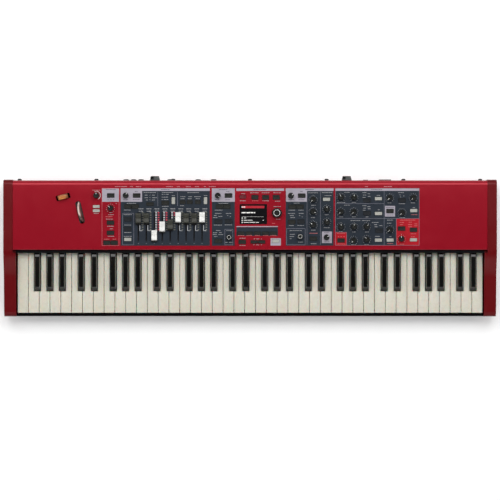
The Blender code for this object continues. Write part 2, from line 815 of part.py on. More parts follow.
def make_pan():
    """The black pan: slip, floor, end flanges and four round feet."""
    half = PAN_WIDTH / 2
    outline = pan_path(0.0) + pan_path(PAN_SHEET)[::-1]
    pan = part("bottom_pan", side_plate(outline, -half, half), material("bottom_pan", BLACK, 0.55))
    flanges = []
    for side in (-1, 1):
        low_x, high_x = sorted((side * half, side * (half - PAN_SHEET)))
        low = (low_x, depth(KEY_FRONT + KEY_GAP), FOOT_HEIGHT)
        flanges.append(box(low, (high_x, depth(PAN_REAR), FOOT_HEIGHT + PAN_FLANGE)))
    shape(pan, "UNION", joined(flanges))
    feet = []
    sole = [(0.0, FOOT_HEIGHT + PAN_SHEET / 2), (FOOT_RADIUS, FOOT_HEIGHT + PAN_SHEET / 2)]
    sole += [(FOOT_RADIUS * 0.85, 0.0), (0.0, 0.0)]
    for x in (-half + FOOT_INSET_X, half - FOOT_INSET_X):
        for back in (FOOT_INSET_Y, PAN_REAR - FOOT_INSET_Y):
            feet.append(moved(turned(sole, 12), place(x, depth(back), 0.0)))
    shape(pan, "UNION", joined(feet))


def knob_radius(name):
    return DIAL_RADIUS if name == "program_dial" else KNOB_RADIUS


def fader_x(index):
    return FADER_FIRST_X + index * FADER_PITCH


def fader_channel():
    """Rear end and length of the channels that the fader caps run over."""
    back = FADER_TOP_STOP - FADER_CAP_LENGTH / 2
    return back, FADER_TRAVEL + FADER_CAP_LENGTH


def stadium(length, width, steps=4):
    """A slot with round ends, its length along Y."""
    straight = (length - width) / 2
    return arc(0, straight, width / 2, 0, 180, steps) + arc(0, -straight, width / 2, 180, 360, steps)


def rectangle(x, y, width, length):
    return [
        (x - width / 2, y - length / 2),
        (x + width / 2, y - length / 2),
        (x + width / 2, y + length / 2),
        (x - width / 2, y + length / 2),
    ]


def turned_outline(outline, x, y, angle):
    turn = math.radians(angle)
    spin = [
        (a * math.cos(turn) - b * math.sin(turn) + x, a * math.sin(turn) + b * math.cos(turn) + y)
        for a, b in outline
    ]
    return spin


def stick_place():
    return STICK_X, depth(PANEL_REAR - STICK_BACK)


def wheel_sink():
    """How far the wheel's middle lies under the panel's top along its lean, from the length that shows."""
    return math.sqrt(WHEEL_RADIUS**2 - (WHEEL_CHORD / 2) ** 2)


def wheel_place():
    """The middle of the wheel's slot: its front rim just clears the black keys' tails."""
    drop = PANEL_TOP - wheel_sink() - BLACK_TAIL_TOP
    reach = math.sqrt(WHEEL_RADIUS**2 - drop**2)
    return WHEEL_X, depth(PIVOT_DEPTH + BLACK_BAR_BEHIND + WHEEL_KEY_GAP + reach)


def panel_openings():
    """Every opening in the panel's face, as outlines in X and Y."""
    outlines = []
    for knob_place in KNOB_PLACES.values():
        x, y = panel_place(*knob_place)
        outlines.append([(x + a, y + b) for a, b in arc(0, 0, SHAFT_RADIUS + SHAFT_HOLE_GAP, 0, 300, 5)])
    for buttons in BUTTON_PLACES.values():
        for across, back, width, length in buttons:
            x, y = panel_place(across, back)
            gap = 2 * BUTTON_GAP
            outlines.append(rectangle(x, y, width + gap, length + gap))
    back, length = fader_channel()
    for index in range(FADER_COUNT):
        y = depth(PANEL_REAR - back - length / 2)
        outlines.append(rectangle(fader_x(index), y, FADER_SLOT, length))
    y = depth(PANEL_REAR - DISPLAY_BACK)
    gap = 2 * CLEARANCE
    outlines.append(rectangle(DISPLAY_X, y, DISPLAY_WIDTH + gap, DISPLAY_LENGTH + gap))
    slot = rectangle(0, 0, STICK_SLOT, STICK_THICKNESS + 2 * STICK_SLOT_GAP)
    outlines.append(turned_outline(slot, *stick_place(), STICK_TURN))
    outlines.append(turned_outline(stadium(WHEEL_SLOT, WHEEL_SLOT_WIDTH), *wheel_place(), WHEEL_TURN))
    return outlines


def rear_openings():
    """Every opening in the panel's rear wall, as solids that pass through it."""
    inside = depth(PANEL_REAR - PANEL_REAR_BEND)
    outside = depth(PANEL_REAR + PANEL_REAR_BEND)
    solids = []
    rounds = [(x, JACK_RADIUS) for x in JACK_PLACES] + [(x, MIDI_RADIUS) for x in MIDI_PLACES]
    for x, radius in rounds:
        rod = turned([(0, 0.01), (radius + CLEARANCE, 0.01), (radius + CLEARANCE, -0.01), (0, -0.01)], 10)
        solids.append(moved(rod, along_rear(x, SOCKET_HEIGHT)))
    squares = [
        (USB_PLACE, USB_SIZE, USB_SIZE),
        (INLET_X, INLET_WIDTH, INLET_HEIGHT),
        (SWITCH_X, SWITCH_WIDTH, SWITCH_HEIGHT),
    ]
    for x, width, height in squares:
        across = width / 2 + CLEARANCE
        up = height / 2 + CLEARANCE
        low = (x - across, inside, SOCKET_HEIGHT - up)
        solids.append(box(low, (x + across, outside, SOCKET_HEIGHT + up)))
    return solids


def bracket(x):
    """One bracket for a music stand: a tapered ear behind the panel."""
    root = depth(PANEL_REAR - PANEL_SHEET / 2)
    tip = depth(BODY_DEPTH + BRACKET_REACH)
    half = BRACKET_WIDTH / 2
    outline = [
        (x - half, root),
        (x + half, root),
        (x + half - BRACKET_TAPER, tip),
        (x - half + BRACKET_TAPER, tip),
    ]
    return plate(outline, BRACKET_TOP - BRACKET_HEIGHT, BRACKET_TOP)


def bracket_hole(middle):
    x = middle + BRACKET_HOLE_SHIFT
    y = depth(PANEL_REAR + (CHEEK_OVERHANG + BRACKET_REACH) / 2)
    ring = [(x + a, y + b) for a, b in arc(0, 0, BRACKET_HOLE, 0, 324, 9)]
    return plate(ring, BRACKET_TOP - BRACKET_HOLE_DEPTH, BRACKET_TOP + BRACKET_HEIGHT)


def make_panel():
    """The folded red panel with its front lip, rear bend, rear wall and every opening."""
    half = PANEL_WIDTH / 2
    outline = panel_path(0.0) + panel_path(PANEL_SHEET)[::-1]
    panel = part("top_panel", side_plate(outline, -half, half), material("top_panel", RED, 0.35, 0.2))
    shape(panel, "UNION", joined([bracket(x) for x in BRACKET_PLACES]))
    low = PANEL_UNDER - PANEL_SHEET
    high = PANEL_TOP + PANEL_SHEET
    shape(panel, "DIFFERENCE", joined([plate(ring, low, high) for ring in panel_openings()]))
    holes = rear_openings() + [bracket_hole(x) for x in BRACKET_PLACES]
    shape(panel, "DIFFERENCE", joined(holes))


# Keybed

def frame_path():
    """The keybed's pressed line in depth and height, along the top of the sheet, from front to rear."""
    floor = FRAME_BOTTOM + FRAME_SHEET
    lever = PIVOT_DEPTH - FRONT_RAIL_DEPTH
    drop = PIVOT_HEIGHT - KEY_UNDER
    front_top = PIVOT_HEIGHT - drop - lever * DIP_SINE - RAIL_STOP_GAP
    black_lever = PIVOT_DEPTH - BLACK_RAIL_DEPTH
    black_top = PIVOT_HEIGHT - drop - black_lever * DIP_SINE - RAIL_STOP_GAP
    pivot_top = KEY_BOTTOM - CLEARANCE
    rails = [
        (FRONT_RAIL_DEPTH, FRONT_RAIL_WIDTH, front_top),
        (BLACK_RAIL_DEPTH, BLACK_RAIL_WIDTH, black_top),
        (BOARD_RAIL_DEPTH, BOARD_RAIL_WIDTH, floor + BOARD_RAIL_HEIGHT - FRAME_SHEET),
        (PIVOT_DEPTH - PIVOT_RAIL_WIDTH / 2, PIVOT_RAIL_WIDTH, pivot_top),
    ]
    path = []
    for start, width, top in rails:
        path += [(start, floor), (start, top), (start + width, top), (start + width, floor)]
    wall = PIVOT_DEPTH + REAR_WALL_BEHIND
    path += [(wall, floor), (wall, BLACK_TAIL_UNDER - CLEARANCE)]
    return path


def folded(path, thickness):
    """A closed outline around a folded line of right-angled bends, thickness to its right."""
    under = []
    for index, (back, up) in enumerate(path):
        before = path[max(index - 1, 0)]
        after = path[min(index + 1, len(path) - 1)]
        shift_back, shift_up = 0.0, 0.0
        for start, end in ((before, (back, up)), ((back, up), after)):
            run, rise = end[0] - start[0], end[1] - start[1]
            if abs(rise) > abs(run):
                shift_back = math.copysign(thickness, rise)
            elif abs(run) > 0:
                shift_up = -math.copysign(thickness, run)
        under.append((back + shift_back, up + shift_up))
    return path + under[::-1]


def make_keybed():
    """The pressed keybed frame, and the contact board that lies on it."""
    half = INSIDE_WIDTH / 2 - FRAME_MARGIN
    outline = folded(frame_path(), FRAME_SHEET)
    part("keybed_frame", side_plate(outline, -half, half), material("keybed_frame", STEEL, 0.4, 0.9))
    seat = FRAME_BOTTOM + BOARD_RAIL_HEIGHT + CLEARANCE
    top = seat + CONTACT_BOARD
    strip = ACTUATOR_DEPTH - CONTACT_STRIP_WIDTH / 2
    outline = [
        (BOARD_RAIL_DEPTH, seat),
        (BOARD_RAIL_DEPTH + BOARD_RAIL_WIDTH, seat),
        (BOARD_RAIL_DEPTH + BOARD_RAIL_WIDTH, top),
        (strip + CONTACT_STRIP_WIDTH, top),
        (strip + CONTACT_STRIP_WIDTH * 0.8, top + CONTACT_STRIP_HEIGHT),
        (strip + CONTACT_STRIP_WIDTH * 0.2, top + CONTACT_STRIP_HEIGHT),
        (strip, top),
        (BOARD_RAIL_DEPTH, top),
    ]
    half = KEYS_WIDTH / 2
    part("key_contact_board", side_plate(outline, -half, half), material("contact_board", BOARD_GREEN, 0.5))


# Controls

def knob_mesh(radius):
    """A moulded knob with a blind bore for its shaft."""
    bore = SHAFT_RADIUS + CLEARANCE
    deep = SHAFT_INSIDE_KNOB + CLEARANCE
    profile = [
        (0.0, KNOB_HEIGHT),
        (radius - KNOB_TAPER - KNOB_EDGE, KNOB_HEIGHT),
        (radius - KNOB_TAPER, KNOB_HEIGHT - KNOB_EDGE),
        (radius, 0.0),
        (bore, 0.0),
        (bore, deep),
        (0.0, deep),
    ]
    return turned(profile, KNOB_STEPS)


def make_knobs():
    plastic = material("knob_black", BLACK, 0.4)
    meshes = {radius: knob_mesh(radius) for radius in (KNOB_RADIUS, DIAL_RADIUS)}
    for name, knob_place in KNOB_PLACES.items():
        knob = part(name, meshes[knob_radius(name)], plastic)
        knob.location = (*panel_place(*knob_place), KNOB_BOTTOM)


def fader_mesh():
    """A fader cap with a hollowed finger rest, on the blade that runs in its track."""
    half = FADER_CAP_LENGTH / 2
    high = FADER_CAP_HEIGHT
    waist = FADER_CAP_WAIST
    skirt = FADER_CAP_SKIRT
    outline = [(-half - skirt, 0.0), (-half - skirt, high * 0.3)]
    outline += [(-half, high * 0.55), (-half + waist, high)]
    outline += [(-waist, high * 0.82), (waist, high * 0.82)]
    outline += [(half - waist, high), (half, high * 0.7), (half, 0.0)]
    return plate(outline, -FADER_CAP_WIDTH / 2, FADER_CAP_WIDTH / 2, "X")


def make_faders():
    dark = material("fader_black", BLACK, 0.4)
    pale = material("fader_white", WHITE, 0.35)
    white_faders = (2, 3, 5, 8)
    for index in range(FADER_COUNT):
        surface = pale if index in white_faders else dark
        fader = part(f"fader_{index + 1}", fader_mesh(), surface)
        back = FADER_TOP_STOP + FADER_SETTINGS[index]
        x, y, z = fader_x(index), depth(PANEL_REAR - back), KNOB_BOTTOM
        fader.location = (x, y, z)
        low = (x - FADER_BLADE / 2, y - FADER_BLADE_LENGTH / 2, z - FADER_BLADE_DEPTH)
        high = (x + FADER_BLADE / 2, y + FADER_BLADE_LENGTH / 2, z + FADER_CAP_HEIGHT / 4)
        shape(fader, "UNION", box(low, high))


def make_mat(name):
    """A moulded mat of push buttons under the panel, with holes for the shafts beside them."""
    buttons = BUTTON_PLACES[name]
    caps, lows, highs = [], [], []
    for middle, back, width, length in buttons:
        x, y = panel_place(middle, back)
        across, along = width / 2, length / 2
        root = (x - across, y - along, MAT_TOP - MAT_SHEET / 2)
        caps.append(box(root, (x + across, y + along, PANEL_TOP + BUTTON_RISE)))
        lows.append((x - across, y - along))
        highs.append((x + across, y + along))
    low = [min(corner[axis] for corner in lows) - BUTTON_GAP for axis in (0, 1)]
    high = [max(corner[axis] for corner in highs) + BUTTON_GAP for axis in (0, 1)]
    outline = [(low[0], low[1]), (high[0], low[1]), (high[0], high[1]), (low[0], high[1])]
    mat = part(name, plate(outline, MAT_TOP - MAT_SHEET, MAT_TOP), material(name, BLACK, 0.6))
    shape(mat, "UNION", joined(caps))
    cuts = mat_openings(name)
    shape(mat, "DIFFERENCE", joined(cuts))


def mat_openings(name):
    """Room in a mat for the shafts, the faders and the display."""
    low, high = MAT_TOP - 2 * MAT_SHEET, MAT_TOP + MAT_SHEET
    cuts = []
    for knob, knob_place in KNOB_PLACES.items():
        if knob.split("_")[0] in MATS_KNOBS[name]:
            x, y = panel_place(*knob_place)
            ring = [(x + a, y + b) for a, b in arc(0, 0, SHAFT_RADIUS + SHAFT_HOLE_GAP, 0, 300, 5)]
            cuts.append(plate(ring, low, high))
    if name == "organ_buttons":
        back, length = fader_channel()
        left = fader_x(0) - SLIDE_POT_WIDTH
        right = fader_x(FADER_COUNT)
        front = depth(PANEL_REAR - back - 2 * length)
        cuts.append(box((left, front, low), (right, depth(PANEL_REAR - back + FADER_SLOT), high)))
    if name == "piano_program_buttons":
        width = DISPLAY_WIDTH + 2 * (DISPLAY_BORDER + SLIDE_CLEARANCE)
        length = DISPLAY_LENGTH + 2 * (DISPLAY_BORDER + SLIDE_CLEARANCE)
        ring = rectangle(DISPLAY_X, depth(PANEL_REAR - DISPLAY_BACK), width, length)
        cuts.append(plate(ring, low, high))
    return cuts


def slide_pot(index):
    """The housing of one fader's track, on the control board."""
    back, length = fader_channel()
    y = depth(PANEL_REAR - back - length / 2)
    ring = rectangle(fader_x(index), y, SLIDE_POT_WIDTH, SLIDE_POT_LENGTH)
    return plate(ring, BOARD_TOP - BOARD_SHEET / 2, POT_TOP)


def slide_track(index):
    """The groove in a track's housing that the fader's blade runs in."""
    y = depth(PANEL_REAR - FADER_TOP_STOP - FADER_TRAVEL / 2)
    length = FADER_TRAVEL + FADER_BLADE_LENGTH + 2 * SLIDE_CLEARANCE
    ring = rectangle(fader_x(index), y, FADER_BLADE + 2 * CLEARANCE, length)
    return plate(ring, BOARD_TOP + SLIDE_POT_FLOOR, POT_TOP + BOARD_SHEET)


def make_board():
    """The control board with its rotary pots and their shafts, the fader tracks and its posts."""
    left, right = BOARD_POSTS[0][0] - BOARD_MARGIN, BOARD_POSTS[-1][0] + BOARD_MARGIN
    front = depth(PANEL_REAR - BOARD_POSTS[-1][1] - BOARD_MARGIN)
    rear = depth(PANEL_REAR - BOARD_POSTS[-2][1] + BOARD_MARGIN)
    outline = [(left, front), (right, front), (right, rear), (left, rear)]
    bottom = BOARD_TOP - BOARD_SHEET
    board = part("control_board", plate(outline, bottom, BOARD_TOP), material("control_board", BOARD_GREEN, 0.5))
    root = BOARD_TOP - BOARD_SHEET / 2
    tip = KNOB_BOTTOM + SHAFT_INSIDE_KNOB
    pot = [(0.0, tip), (SHAFT_RADIUS, tip), (SHAFT_RADIUS, POT_TOP), (POT_RADIUS, POT_TOP), (POT_RADIUS, root)]
    pot.append((0.0, root))
    raised = []
    for knob_place in KNOB_PLACES.values():
        raised.append(moved(turned(pot, 6), place(*panel_place(*knob_place), 0.0)))
    radius = BOARD_POST_RADIUS
    post = [(0.0, MAT_TOP), (radius, MAT_TOP), (radius, root), (0.0, root)]
    for post_place in BOARD_POSTS:
        raised.append(moved(turned(post, 6), place(*panel_place(*post_place), 0.0)))
    raised += [slide_pot(index) for index in range(FADER_COUNT)]
    shape(board, "UNION", joined(raised))
    shape(board, "DIFFERENCE", joined([slide_track(index) for index in range(FADER_COUNT)]))


def make_display():
    """The display: a module on the board, with its window standing up into the panel."""
    y = depth(PANEL_REAR - DISPLAY_BACK)
    width = DISPLAY_WIDTH + 2 * DISPLAY_BORDER
    length = DISPLAY_LENGTH + 2 * DISPLAY_BORDER
    body = plate(rectangle(DISPLAY_X, y, width, length), BOARD_TOP + CLEARANCE, MAT_TOP)
    display = part("display_module", body, material("display_module", BLACK, 0.1))
    glass = plate(rectangle(DISPLAY_X, y, DISPLAY_WIDTH, DISPLAY_LENGTH), MAT_TOP - PANEL_SHEET, PANEL_TOP - CLEARANCE)
    shape(display, "UNION", glass)


# Pitch stick and modulation wheel

def stick_frame():
    """Where the pitch stick's hinge is: X along its slot, Y along the hinge."""
    return place(*stick_place(), PANEL_TOP - STICK_AXIS_DROP) @ Matrix.Rotation(math.radians(STICK_TURN), 4, "Z")


def wheel_frame():
    """Where the wheel's middle is: X along its axle, Z towards the top of the wheel."""
    turn = Matrix.Rotation(math.radians(WHEEL_TURN), 4, "Z")
    lean = Matrix.Rotation(math.radians(-WHEEL_LEAN), 4, "Y")
    return place(*wheel_place(), PANEL_TOP) @ turn @ lean @ place(0, 0, -wheel_sink())


def pin(length, radius):
    """A pin along X about the origin, with this whole length."""
    rod = [(0.0, length / 2), (radius, length / 2), (radius, -length / 2), (0.0, -length / 2)]
    return moved(turned(rod, 8), Matrix.Rotation(math.radians(90), 4, "Y"))


def make_stick():
    """The wooden pitch stick: a rounded grip on a narrower shank with a hinge hole."""
    rise = STICK_TOP - PANEL_TOP + STICK_AXIS_DROP
    half = STICK_WIDTH / 2
    shank = STICK_SHANK / 2
    waist = STICK_AXIS_DROP - 0.006
    outline = [(-shank, -shank), (shank, -shank), (shank, waist - 0.005), (half, waist)]
    outline += arc(half - 0.004, rise - 0.004, 0.004, 0, 90, 3)
    outline += arc(-half + 0.004, rise - 0.004, 0.004, 90, 180, 3)
    outline += [(-half, waist), (-shank, waist - 0.005)]
    mesh = plate(outline, -STICK_THICKNESS / 2, STICK_THICKNESS / 2)
    mesh.transform(Matrix.Rotation(math.radians(90), 4, "X"))
    stick = part("pitch_stick", mesh, material("pitch_stick", WOOD, 0.45))
    frame = stick_frame()
    stick.matrix_world = frame
    hole = moved(pin(2 * STICK_THICKNESS, PIN_RADIUS + CLEARANCE), Matrix.Rotation(math.radians(90), 4, "Z"))
    shape(stick, "DIFFERENCE", moved(hole, frame))


def make_wheel():
    """The modulation wheel: a disc with a rounded rim, a finger dimple and an axle hole."""
    half = WHEEL_THICKNESS / 2
    bore = PIN_RADIUS + CLEARANCE
    rim = [(WHEEL_RADIUS - half * (1 - math.cos(math.radians(a))), half * math.sin(math.radians(a)))
           for a in (80, 50, 20, -20, -50, -80)]
    profile = [(bore, half)] + rim + [(bore, -half)]
    disc = moved(turned(profile + [profile[0]], WHEEL_STEPS), Matrix.Rotation(math.radians(90), 4, "Y"))
    wheel = part("mod_wheel", disc, material("mod_wheel", STONE, 0.4))
    frame = wheel_frame()
    wheel.matrix_world = frame


def bracket_frame_top():
    return PANEL_UNDER - CLEARANCE


def make_bender_bracket():
    """The bracket under the panel that carries the hinge pin of the stick and the axle of the wheel."""
    top = bracket_frame_top()
    stick_x, stick_y = stick_place()
    wheel_x, wheel_y = wheel_place()
    room = 0.012
    outline = [
        (stick_x - STICK_WIDTH / 2 - room, stick_y - STICK_WIDTH / 2 - room),
        (wheel_x - 2 * room, wheel_y - 2 * room),
        (wheel_x + room, wheel_y - 2 * room),
        (wheel_x + room, stick_y + room),
        (stick_x - STICK_WIDTH / 2 - room, stick_y + room),
    ]
    plastic = material("bender_bracket", BLACK, 0.6)
    mount = part("bender_bracket", plate(outline, top - BRACKET_SHEET, top), plastic)
    stick, wheel = stick_frame(), wheel_frame()
    wall = STICK_THICKNESS / 2 + SLIDE_CLEARANCE
    arms = []
    for side in (-1, 1):
        low_y, high_y = sorted((side * wall, side * (wall + ARM_THICKNESS)))
        arm = box((-ARM_WIDTH / 2, low_y, -PIN_RADIUS * 2), (ARM_WIDTH / 2, high_y, STICK_AXIS_DROP))
        arms.append(moved(arm, stick))
    side_gap = WHEEL_THICKNESS / 2 + SLIDE_CLEARANCE
    reach = WHEEL_RADIUS
    for side in (-1, 1):
        low_x, high_x = sorted((side * side_gap, side * (side_gap + ARM_THICKNESS)))
        arm = box((low_x, -ARM_WIDTH / 2, -PIN_RADIUS * 2), (high_x, ARM_WIDTH / 2, reach))
        arms.append(moved(arm, wheel))
    shape(mount, "UNION", joined(arms))
    for solid in bracket_room():
        shape(mount, "DIFFERENCE", solid)
    across = 2 * (wall + ARM_THICKNESS / 2)
    hinge = moved(pin(across, PIN_RADIUS), stick @ Matrix.Rotation(math.radians(90), 4, "Z"))
    axle = moved(pin(2 * side_gap + ARM_THICKNESS, PIN_RADIUS), wheel)
    shape(mount, "UNION", joined([hinge, axle]))


def bracket_room():
    """What the bracket leaves free: above its top face, and the slots of the stick and the wheel."""
    top = bracket_frame_top()
    stick_x, stick_y = stick_place()
    reach = STICK_SLOT * 4
    above = box((stick_x - reach, stick_y - reach, top), (stick_x + reach, stick_y + reach, top + reach))
    slot = rectangle(0, 0, STICK_SLOT, STICK_THICKNESS + 2 * SLIDE_CLEARANCE)
    stick = plate(turned_outline(slot, *stick_place(), STICK_TURN), top - 0.004, top + 0.004)
    half = WHEEL_THICKNESS / 2 + SLIDE_CLEARANCE
    low = (-half, -WHEEL_SLOT / 2 - 0.003, 0.006)
    wheel = moved(box(low, (half, WHEEL_SLOT / 2 + 0.003, WHEEL_RADIUS)), wheel_frame())
    return above, stick, wheel


# Rear sockets and power

def socket(body, radius, bore, reach, deep, steps):
    """A round socket along the rear's outward direction, with its bore open to the rear."""
    root = -SOCKET_BOARD_DEPTH + BOARD_SHEET / 2
    inside = -PANEL_SHEET - CLEARANCE
    profile = [(0.0, reach - deep), (bore, reach - deep), (bore, reach), (radius, reach), (radius, inside)]
    profile += [(body, inside), (body, root), (0.0, root)]
    return turned(profile, steps)


def make_sockets():
    """The socket board standing behind the rear wall: jacks, round data sockets and a square one."""
    places = (*JACK_PLACES, *MIDI_PLACES)
    left, right = min(places) - SOCKET_BOARD_MARGIN, max(places) + SOCKET_BOARD_MARGIN
    face = PANEL_REAR - SOCKET_BOARD_DEPTH
    low = (left, depth(face), FRAME_BOTTOM)
    high = (right, depth(face + BOARD_SHEET), SOCKET_BOARD_TOP)
    board = part("socket_board", box(low, high), material("socket_board", BOARD_GREEN, 0.5))
    solids = []
    for x in JACK_PLACES:
        jack = socket(JACK_BODY_RADIUS, JACK_RADIUS, JACK_BORE, JACK_REACH, JACK_BORE_DEPTH, 8)
        solids.append(moved(jack, along_rear(x, SOCKET_HEIGHT)))
    for x in MIDI_PLACES:
        midi = socket(MIDI_BODY_RADIUS, MIDI_RADIUS, MIDI_BORE, MIDI_REACH, MIDI_BORE_DEPTH, 10)
        solids.append(moved(midi, along_rear(x, SOCKET_HEIGHT)))
    x, half = USB_PLACE, USB_SIZE / 2
    low = (x - half, depth(face + BOARD_SHEET / 2), SOCKET_HEIGHT - half)
    solids.append(box(low, (x + half, depth(PANEL_REAR + MIDI_REACH), SOCKET_HEIGHT + half)))
    shape(board, "UNION", joined(solids))
    half = USB_BORE / 2
    low = (x - half, depth(PANEL_REAR + MIDI_REACH - USB_BORE_DEPTH), SOCKET_HEIGHT - half)
    shape(board, "DIFFERENCE", box(low, (x + half, depth(PANEL_REAR + BRACKET_REACH), SOCKET_HEIGHT + half)))


def rear_box(x, width, height, low_depth, high_depth):
    """A box centred on a rear socket's place."""
    low = (x - width / 2, depth(low_depth), SOCKET_HEIGHT - height / 2)
    return box(low, (x + width / 2, depth(high_depth), SOCKET_HEIGHT + height / 2))


def make_supply():
    """The power supply with its mains inlet and the housing of its switch, both through the rear wall."""
    rear = PANEL_REAR - SUPPLY_SETBACK
    low = (SUPPLY_X - SUPPLY_WIDTH / 2, depth(rear - SUPPLY_LENGTH), FRAME_BOTTOM)
    high = (SUPPLY_X + SUPPLY_WIDTH / 2, depth(rear), FRAME_BOTTOM + SUPPLY_HEIGHT)
    supply = part("power_supply", box(low, high), material("power_supply", STEEL, 0.5, 0.6))
    inside = rear - SUPPLY_SETBACK / 2
    inlet_end, switch_end = PANEL_REAR + INLET_REACH, PANEL_REAR + SWITCH_REACH
    necks = [
        rear_box(INLET_X, INLET_WIDTH, INLET_HEIGHT, inside, inlet_end),
        rear_box(SWITCH_X, SWITCH_WIDTH, SWITCH_HEIGHT, inside, switch_end),
    ]
    shape(supply, "UNION", joined(necks))
    wall, beyond = 2 * INLET_WALL, PANEL_REAR + BRACKET_REACH
    hollows = [
        rear_box(INLET_X, INLET_WIDTH - wall, INLET_HEIGHT - wall, inlet_end - INLET_BORE_DEPTH, beyond),
        rear_box(
            SWITCH_X, SWITCH_WIDTH - 2 * SWITCH_WALL, SWITCH_HEIGHT - 2 * SWITCH_WALL,
            switch_end - SWITCH_DEPTH, beyond,
        ),
    ]
    shape(supply, "DIFFERENCE", joined(hollows))
    floor = inlet_end - INLET_BORE_DEPTH
    pins = [
        rear_box(INLET_X + shift, INLET_PIN_SHEET, INLET_PIN, floor - PAN_SHEET, floor + INLET_PIN_LENGTH)
        for shift in (-INLET_PIN_PITCH, 0.0, INLET_PIN_PITCH)
    ]
    shape(supply, "UNION", joined(pins))


def make_rocker():
    """The mains switch's rocker, resting in its off position."""
    width = SWITCH_WIDTH - 2 * SWITCH_WALL - 2 * CLEARANCE
    half = SWITCH_HEIGHT / 2 - SWITCH_WALL - SLIDE_CLEARANCE
    tip = half - ROCKER_SLOPE
    outline = [(-0.004, -0.004), (0.001, -half), (ROCKER_REACH, -tip), (ROCKER_REACH - ROCKER_DENT, 0.0)]
    outline += [(ROCKER_REACH, tip), (0.001, half), (-0.004, 0.004)]
    rocker = part("power_rocker", plate(outline, -width / 2, width / 2, "X"), material("power_rocker", BLACK, 0.4))
    rocker.location = (SWITCH_X, depth(PANEL_REAR + SWITCH_REACH - ROCKER_SINK), SOCKET_HEIGHT)
    rocker.rotation_euler = (math.radians(-ROCKER_ANGLE), 0.0, 0.0)


empty_scene()
PARTS = make_collection("stage_keyboard")
CUTTERS = make_collection("cutters")

make_panel()
make_pan()
make_cheek("left_cheek", -1)
make_cheek("right_cheek", 1)
make_keybed()
make_keys()
make_board()
make_display()
make_knobs()
make_faders()
for mat_name in BUTTON_PLACES:
    make_mat(mat_name)
make_bender_bracket()
make_stick()
make_wheel()
make_sockets()
make_supply()
make_rocker()
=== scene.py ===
"""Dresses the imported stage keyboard: keys, painted steel, printed panel, controls and sockets."""

import json
import math

import bmesh
import bpy
from bpy.props import FloatProperty, FloatVectorProperty, IntProperty, PointerProperty
from mathutils import Matrix, Vector

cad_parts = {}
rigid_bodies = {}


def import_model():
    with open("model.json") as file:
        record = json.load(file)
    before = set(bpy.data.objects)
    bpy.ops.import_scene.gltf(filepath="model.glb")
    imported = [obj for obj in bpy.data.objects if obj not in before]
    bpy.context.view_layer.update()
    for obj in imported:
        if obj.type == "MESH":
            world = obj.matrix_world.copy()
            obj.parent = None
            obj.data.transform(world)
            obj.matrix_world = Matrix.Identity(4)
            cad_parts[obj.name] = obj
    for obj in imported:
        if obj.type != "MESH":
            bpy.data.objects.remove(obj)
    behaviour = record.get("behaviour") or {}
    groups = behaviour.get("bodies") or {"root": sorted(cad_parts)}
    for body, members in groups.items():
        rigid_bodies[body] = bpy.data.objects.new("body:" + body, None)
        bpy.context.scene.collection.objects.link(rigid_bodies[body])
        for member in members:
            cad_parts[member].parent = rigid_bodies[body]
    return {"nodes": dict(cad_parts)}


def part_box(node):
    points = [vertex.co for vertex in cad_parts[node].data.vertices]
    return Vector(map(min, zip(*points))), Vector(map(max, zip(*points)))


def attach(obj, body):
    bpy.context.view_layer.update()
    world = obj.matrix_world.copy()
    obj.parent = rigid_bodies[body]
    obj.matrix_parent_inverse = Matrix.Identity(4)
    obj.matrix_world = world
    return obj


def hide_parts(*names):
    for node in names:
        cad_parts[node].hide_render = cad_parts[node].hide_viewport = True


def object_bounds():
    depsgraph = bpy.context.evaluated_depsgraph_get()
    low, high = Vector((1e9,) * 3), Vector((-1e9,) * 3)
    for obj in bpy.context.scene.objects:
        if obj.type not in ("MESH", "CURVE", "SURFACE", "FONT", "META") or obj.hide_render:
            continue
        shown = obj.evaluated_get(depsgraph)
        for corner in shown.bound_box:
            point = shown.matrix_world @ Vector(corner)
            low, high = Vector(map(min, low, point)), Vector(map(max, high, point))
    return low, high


bl_info = {
    "name": "Stage Keyboard Dressing",
    "version": (1, 0, 0),
    "blender": (4, 5, 0),
    "location": "View3D > Sidebar > Keyboard",
    "description": "Builds the finished keys, panel, controls and sockets of a stage keyboard",
    "category": "Object",
}

for leftover in list(bpy.data.objects):
    bpy.data.objects.remove(leftover, do_unlink=True)

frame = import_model()
CAD_LOW, CAD_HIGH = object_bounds()

MM = 0.001
PANEL_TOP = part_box("top_panel")[1].z
PANEL_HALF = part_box("top_panel")[1].x
PANEL_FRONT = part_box("top_panel")[0].y
CHEEK_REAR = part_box("left_cheek")[1].y
CHEEK_INNER = 508.0 * MM
PANEL_REAR = CHEEK_REAR - 1.5 * MM
PANEL_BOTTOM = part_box("top_panel")[0].z
PANEL_SHEET = 1.5 * MM
PANEL_BEND = 10.0 * MM
PANEL_LIP = 8.5 * MM
SOCKET_HEIGHT = 34.0 * MM
# Gap that keeps neighbours apart
GAP = 0.3 * MM
# Where the boards end and their parts begin
CONTACT_BOARD_TOP = 31.5 * MM
CONTROL_BOARD_TOP = 69.8 * MM
SOCKET_BOARD_REAR = 112.1 * MM
SUPPLY_CAN_REAR = 133.1 * MM
MAT_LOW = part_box("organ_buttons")[0].z
MAT_TOP = MAT_LOW + 1.5 * MM
CAP_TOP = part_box("organ_buttons")[1].z

